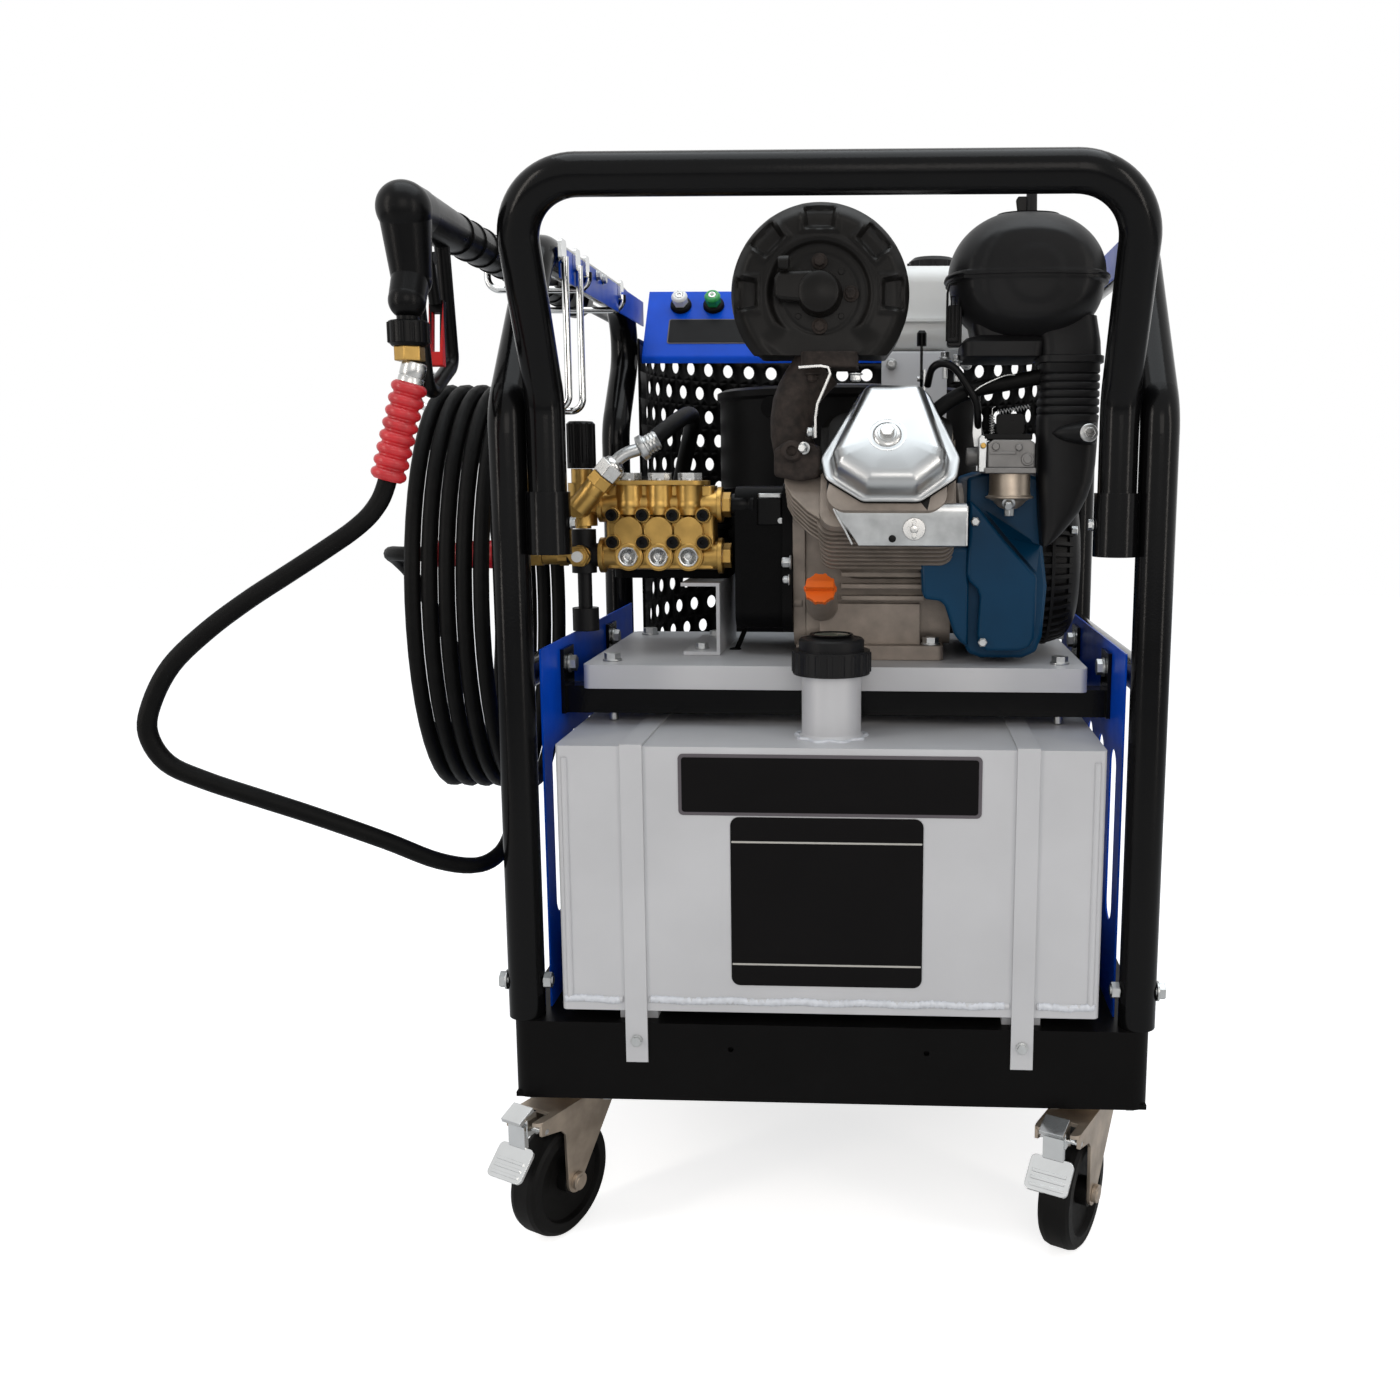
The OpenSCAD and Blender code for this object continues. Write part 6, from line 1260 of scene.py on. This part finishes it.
def solid_patch(name, outline, depth, faces, material):
    """Bent plate: points of its outer side, the same points moved by depth, and the outer faces."""
    n = len(outline)
    verts = [Vector(p) for p in outline] + [Vector(p) + Vector(depth) for p in outline]
    back = [tuple(n + i for i in reversed(face)) for face in faces]
    edge = [(i, (i + 1) % n, n + (i + 1) % n, n + i) for i in range(n)]
    return piece(name, verts, faces + back + edge, IN_PLACE, material)


print("sheet and patch helpers ready")

# %% Shield
SHIELD_LEFT, SHIELD_RIGHT = 2, 137


def cut_corner(x, z):
    """The shield's left edge slants in below its fold."""
    return max(x, SHIELD_LEFT + 0.42 * (790 - z) + 8 * ease(772, 752, z)) if z < 788 else x


fold = [(-395.5, 790.5), (-407.5, 790.5), (-411.5, 789.5), (-413.5, 786.5), (-413.7, 782), (-412.7, 774),
        (-411.7, 766), (-410.7, 758), (-409.9, 750), (-408.9, 748), (-405.5, 747)]
shield = sheet_metal("heat_shield", fold, SHIELD_LEFT, SHIELD_RIGHT, 2, zinc, cut_corner, steps=24)
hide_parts("engine_brackets")
print("shield points", len(shield.data.vertices))

# %% Fittings of the shield
plate("shield_return", [(-4, -21), (26, -17), (26, 17), (-4, 19)], 2,
      frame_at((SHIELD_RIGHT - 1, -409, 769), TO_RIGHT, up=UPWARD), zinc, bevel=0.5)
tongue = [(3, -413, 786), (8, -413, 776), (15, -412, 764), (22, -411, 750), (22, -388, 748),
          (14, -386, 764), (7, -386, 776), (3, -386, 786)]
solid_patch("shield_tongue", tongue, (-1.4, 0, -1.4), [(0, 1, 6, 7), (1, 2, 5, 6), (2, 3, 4, 5)], zinc)
nose = frame_at((84, -413, 765), (0, -1, 0.03), up=UPWARD)
turned("shield_washer", [(4, 0.4), (10.6, 0.2), (11.4, 0.9), (11, 1.8), (4, 2)], nose, turned_steel,
       steps=32)
turned("shield_stud", [(0.01, 7.4), (3.4, 7.2), (4, 6.4), (4.2, 1.6)], nose, turned_steel, steps=24)
for which, side in (("low", -1), ("high", 1)):
    wing = [(-1.5, 0), (1.5, 0), (2.2, side * 8), (0, side * 10.5), (-2.2, side * 8)]
    plate("shield_wing_" + which, wing, 4, nose @ moved(0, 0, 2.2), turned_steel, bevel=0.7)
# A thin black disc stands for a hole in the shield: its black is painted shade.
turned("shield_hole_shade", [(0.01, 0.25), (3, 0.25), (3.6, 0.2), (3.8, 0)],
       frame_at((62, -411, 755), (0, -1, 0.05)), smooth_black, steps=24)
print("fittings of the shield made")

# %% Cylinder fins
FIN_OUTLINE = [(-107, 30), (-107, -8), (-99, -24), (-82, -42), (-60, -58), (-40, -62), (-20, -62),
               (-20, 30)]
FINS, FIRST_FIN, FIN_PITCH = 6, 128, 9.2
for i in range(FINS):
    seat = frame_at(SHAFT + ALONG * (FIRST_FIN + FIN_PITCH * i), ALONG, up=UPWARD)
    plate(f"cylinder_fin_{i}", FIN_OUTLINE, 3.2, seat, cast_alloy, bevel=0.8)
print("fins", FIN_PITCH, "mm apart")

# %% Fuel tank shelf and lever bracket
SHELF_REAR = -122.7
sheet_metal("tank_shelf", [(16, 966), (-60, 966), (-118, 966), (-121, 965), (-122.4, 962), (-122.6, 900),
                           (-122.6, 732)], 48, 127, 3, silver_paint)


def side_plate(name, outline, x, material, bevel):
    """Outline of (y, z) pairs in millimetres, 3 mm thick from x to the right."""
    across = Matrix(((0, 0, 1, 0), (1, 0, 0, 0), (0, 1, 0, 0), (0, 0, 0, 1)))
    return plate(name, outline, 3, moved(x, 0, 0) @ across, material, bevel=bevel)


cheek = [(SHELF_REAR + 1, 731), (SHELF_REAR + 20, 781), (SHELF_REAR + 24, 908), (34, 965),
         (SHELF_REAR + 1, 965)]
for i, x in enumerate((48, 124)):
    side_plate(f"shelf_cheek_{i}", cheek, x, silver_paint, 0.8)
lever_arm = [(-247, 807.3), (-181, 807.3), (-181, 819), (-225, 835), (-225, 935), (-247, 935)]
side_plate("lever_bracket", lever_arm, 95.3, zinc, 0.6)
turned("lever_pivot", [(0.01, 9), (3.4, 8.8), (4.6, 8), (4.8, 3), (3, 2.6), (3, 0)],
       frame_at((89, -236, 925), TO_RIGHT), zinc, steps=24)
print("shelf and lever bracket made")

# %% [markdown]
# ## Behind the pump
# The guard round the boiler is punched sheet, rolled to a half circle. Every hole is cut in the mesh: a
# square cell whose middle is a ring of points, so light falls through it from all sides. The high
# pressure hose leaves the pump, loops over and drops to the boiler.

# %% Layout of the guard
GUARD_END, GUARD_AXIS, GUARD_RADIUS = 98.5, 159, 291
GUARD_LOW, GUARD_TOP, ROW_TOP = 262, 1003, 996.15
HOLE_R, ROW, COLUMN, ROWS, RIM_POINTS = 10, 36.3, 40, 20, 16
RUN, HALF_TURN = GUARD_AXIS - GUARD_END, math.pi * GUARD_RADIUS
WHOLE = 2 * RUN + HALF_TURN
COLUMNS = int(WHOLE / COLUMN) - 1
EDGE = (WHOLE - COLUMNS * COLUMN) / 2
RIM = circle(RIM_POINTS)


def on_guard(s, z):
    """Point in mm on the sheet: s runs from the right rear tube round the back to the left one."""
    if s < RUN:
        return (GUARD_RADIUS, GUARD_END + s, z)
    if s > RUN + HALF_TURN:
        return (-GUARD_RADIUS, GUARD_AXIS - (s - RUN - HALF_TURN), z)
    a = (s - RUN) / GUARD_RADIUS
    return (GUARD_RADIUS * math.cos(a), GUARD_AXIS + GUARD_RADIUS * math.sin(a), z)


print("columns of holes", COLUMNS, "with an edge of", round(EDGE, 1), "mm")

# %% Punched guard
verts, faces = [], []


def patch(corners):
    """One face of the sheet through (s, z) corners."""
    faces.append(tuple(range(len(verts), len(verts) + len(corners))))
    verts.extend(on_guard(s, z) for s, z in corners)


def strip_of(s0, s1, z0, z1):
    """Plain strip of faces about 12 mm long, so that it follows the curve."""
    steps = max(1, int((s1 - s0) / 12))
    for k in range(steps):
        a, b = s0 + (s1 - s0) * k / steps, s0 + (s1 - s0) * (k + 1) / steps
        patch([(a, z0), (b, z0), (b, z1), (a, z1)])


def cell(s, z):
    """Square cell with a round hole: each face joins a stretch of the hole to the cell's edge."""
    for k in range(RIM_POINTS):
        ring = [RIM[k], RIM[(k + 1) % RIM_POINTS]]
        box = [(s + x / max(abs(x), abs(y)) * COLUMN / 2, z + y / max(abs(x), abs(y)) * ROW / 2)
               for x, y in ring]
        hole = [(s + HOLE_R * x, z + HOLE_R * y) for x, y in ring]
        patch([hole[0], box[0], box[1], hole[1]])


for j in range(ROWS):
    odd = j % 2
    z1 = ROW_TOP - j * ROW
    first = EDGE + odd * COLUMN / 2
    strip_of(0, first, z1 - ROW, z1)
    for i in range(COLUMNS - odd):
        cell(first + (i + 0.5) * COLUMN, z1 - ROW / 2)
    strip_of(WHOLE - first, WHOLE, z1 - ROW, z1)
strip_of(0, WHOLE, ROW_TOP, GUARD_TOP)
strip_of(0, WHOLE, GUARD_LOW, ROW_TOP - ROWS * ROW)
guard_sheet = piece("punched_guard", verts, faces, IN_PLACE, satin_black, smooth=25)
sheet_depth = guard_sheet.modifiers.new("sheet", "SOLIDIFY")
sheet_depth.thickness = 2 * MM
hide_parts("rear_guard")
print("holes in the guard", sum(COLUMNS - j % 2 for j in range(ROWS)))

# %% Outlet tube and hose
outlet = [OUT + Vector(p) for p in ((8, 0, 9), (17, 0, 19), (23, 0.6, 27), (30, 1.2, 34.5), (39, 2.6, 40.5),
                                    (49, 4, 44), (58, 6, 47))]
tube("outlet_bend", flowing(outlet, 5), 14, zinc, sides=24)
turned("outlet_elbow", [(0.01, -10), (9.5, -9.6), (12.4, -6), (12.6, 10), (11, 14), (0.01, 14)],
       frame_at(OUT, SLOPE), brass, steps=40)
hose_path = [(-212, -291.5, 848), (-205, -286, 853.5), (-197, -270, 863), (-189, -246, 873),
             (-182, -218, 882), (-178, -188, 887.5), (-178, -160, 886), (-182, -134, 877),
             (-189, -112, 859), (-198, -97, 832), (-205, -90, 803), (-207, -84, 776), (-203, -72, 752),
             (-192, -48, 735), (-177, -16, 726), (-160, 22, 723), (-140, 62, 722)]
pump_hose = tube("pump_hose", flowing(hose_path, 7), 19.5, hose_rubber, sides=28)
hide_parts("outlet_pipe")
print("hose path points", len(hose_path))

# %% [markdown]
# ## Fan housing
# The fan housing is one moulding: a deep front box with a slanting shoulder, a wider body behind and a
# cheek that ducts air to the cylinder. The starter cover beside it is a cage, so its slots are real
# gaps between ribs, over a dark drum.

# %% Blue housing
FACING = Matrix(((1, 0, 0, 0), (0, 0, 1, 0), (0, 1, 0, 0), (0, 0, 0, 1)))


def front_plate(name, outline, y0, y1, material, bevel):
    """Outline of (x, z) pairs in millimetres, from y0 back to y1."""
    return plate(name, outline, y1 - y0, moved(0, y0, 0) @ FACING, material, bevel=bevel)


housing = front_plate("fan_front", [(144, 793), (144, 756), (142, 714), (145, 706), (154, 698), (157, 690),
                                    (155, 650), (157, 637), (165, 631), (200, 631), (211, 635), (216, 645),
                                    (217, 676), (217, 712), (182, 750), (156, 782)], -340, -222,
                      petrol_blue, 3.5)
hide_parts("fan_shroud")
front_plate("fan_body", [(142, 816), (142, 760), (140, 690), (140, 640), (146, 626), (160, 621), (205, 621),
                         (220, 628), (226, 645), (230, 700), (224, 744), (221, 816), (200, 822),
                         (160, 822)], -322, -116, petrol_blue, 4)
front_plate("fan_cheek", [(97, 739), (100, 741), (145, 742), (145, 634), (136, 640), (130, 648), (120, 678),
                          (115, 684), (99, 686), (95, 690), (93, 728)], -334, -290, petrol_blue, 4)
facet = [(159, -337.5, 783), (185, -337.5, 752), (216.5, -337.5, 716), (221, -322.5, 744),
         (184, -322.5, 757)]
solid_patch("fan_shoulder", facet, (0, 3, 0), [(0, 1, 2, 3, 4)], petrol_blue)
bolt("fan_bolt_a", (150, -341, 770), TO_FRONT, 9, 5)
bolt("fan_bolt_b", (160, -341, 641), TO_FRONT, 9, 5)
bolt("fan_bolt_c", (222, -323, 800), TO_FRONT, 8, 4, 12)
print("housing made")

# %% Starter cage
DRUM = frame_at((213, -213, 721), TO_RIGHT, up=UPWARD)
turned("starter_drum", [(99, 0), (99.5, 4), (93, 5), (91, 24), (85, 42), (88, 43.5), (84, 51), (72, 57.5),
                        (52, 60.5), (50, 58.5), (20, 58.5), (18, 60.5), (0.01, 61)], DRUM, grained_black,
       steps=96)
CAGE_RIBS = 48
RIB_PATH = ((98.6, 3), (97.6, 14), (95.8, 26), (92.4, 38), (88, 47))
RIB_SECTION = ((-2.6, -6), (-2.2, 0.6), (2.2, 0.6), (2.6, -6))
verts, faces = [], []
for c, s in circle(CAGE_RIBS):
    base = len(verts)
    for r, h in RIB_PATH:
        verts += [((r + rise) * c - across * s, (r + rise) * s + across * c, h)
                  for across, rise in RIB_SECTION]
    for i in range(len(RIB_PATH) - 1):
        for j in range(4):
            p, q = base + i * 4 + j, base + i * 4 + (j + 1) % 4
            faces.append((p, q, q + 4, p + 4))
cage = piece("starter_ribs", verts, faces, DRUM, grained_black)
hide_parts("recoil_cover")
turned("starter_hoop", [(94, 23), (97.6, 23.4), (97.2, 27), (93.5, 27.4), (94, 23)], DRUM, grained_black,
       steps=96)
for k in range(3):
    hexagon(f"starter_bolt_{k}", 9, -2, 5, round_about(DRUM, 35 + 120 * k, 89, 47), zinc)
print("cage ribs", CAGE_RIBS)

# %% [markdown]
# ## Carburettor
# The cast body is a block with a rim round its foot. The yellow-plated bowl below it is pressed from
# sheet: it flares to a lip, then closes to a drain bolt. It hangs clear of the fan housing behind.

# %% Carburettor body, bowl and drain bolts
carb = front_plate("carb_body", [(160, 826), (208.5, 826), (208.5, 852), (203, 855), (166, 855),
                                 (160, 851)], -366, -296, carb_alloy, 1.4)
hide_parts("carburettor")
front_plate("carb_foot", [(157, 820.6), (210, 820.6), (210, 826.4), (157, 826.4)], -368, -294, carb_alloy,
            0.9)
front_plate("carb_ledge", [(162, 840), (189, 840), (189, 843), (162, 843)], -367.4, -340, carb_alloy, 0.6)
front_plate("carb_lug", [(151, 822), (159, 822), (159.6, 858), (153, 860), (151, 856)], -362, -338, zinc,
            0.8)
front_plate("carb_insulator", [(156, 855.2), (206, 855.2), (206, 861), (156, 861)], -362, -300,
            smooth_black, 0.8)
BOWL = frame_at((185, -345, 0))
turned("float_bowl", [(20.6, 821), (21.4, 820), (21.6, 801), (22.4, 798), (24.6, 796.6), (25.4, 796),
                      (25.4, 795), (24, 794.4), (20.5, 793.6), (17, 791.4), (12.5, 786.4), (9, 784.2),
                      (0.01, 783.8)], BOWL, yellow_zinc, steps=64)
hexagon("drain_bolt", 10, 776, 784, BOWL, zinc)
turned("drain_washer", [(0.01, 785), (7.4, 785), (7.6, 784.4), (7.6, 783.6), (0.01, 783.4)], BOWL, zinc,
       steps=28)
bolt("drain_screw", (183, -362.5, 790.5), (-0.1, -0.84, -0.52), 9, 6, 14)
turned("carb_stub", [(9, 0), (9.4, 0.4), (9.4, 19), (9, 20)], frame_at((160, -330, 838), TO_LEFT),
       carb_alloy, steps=36)
print("carburettor made")
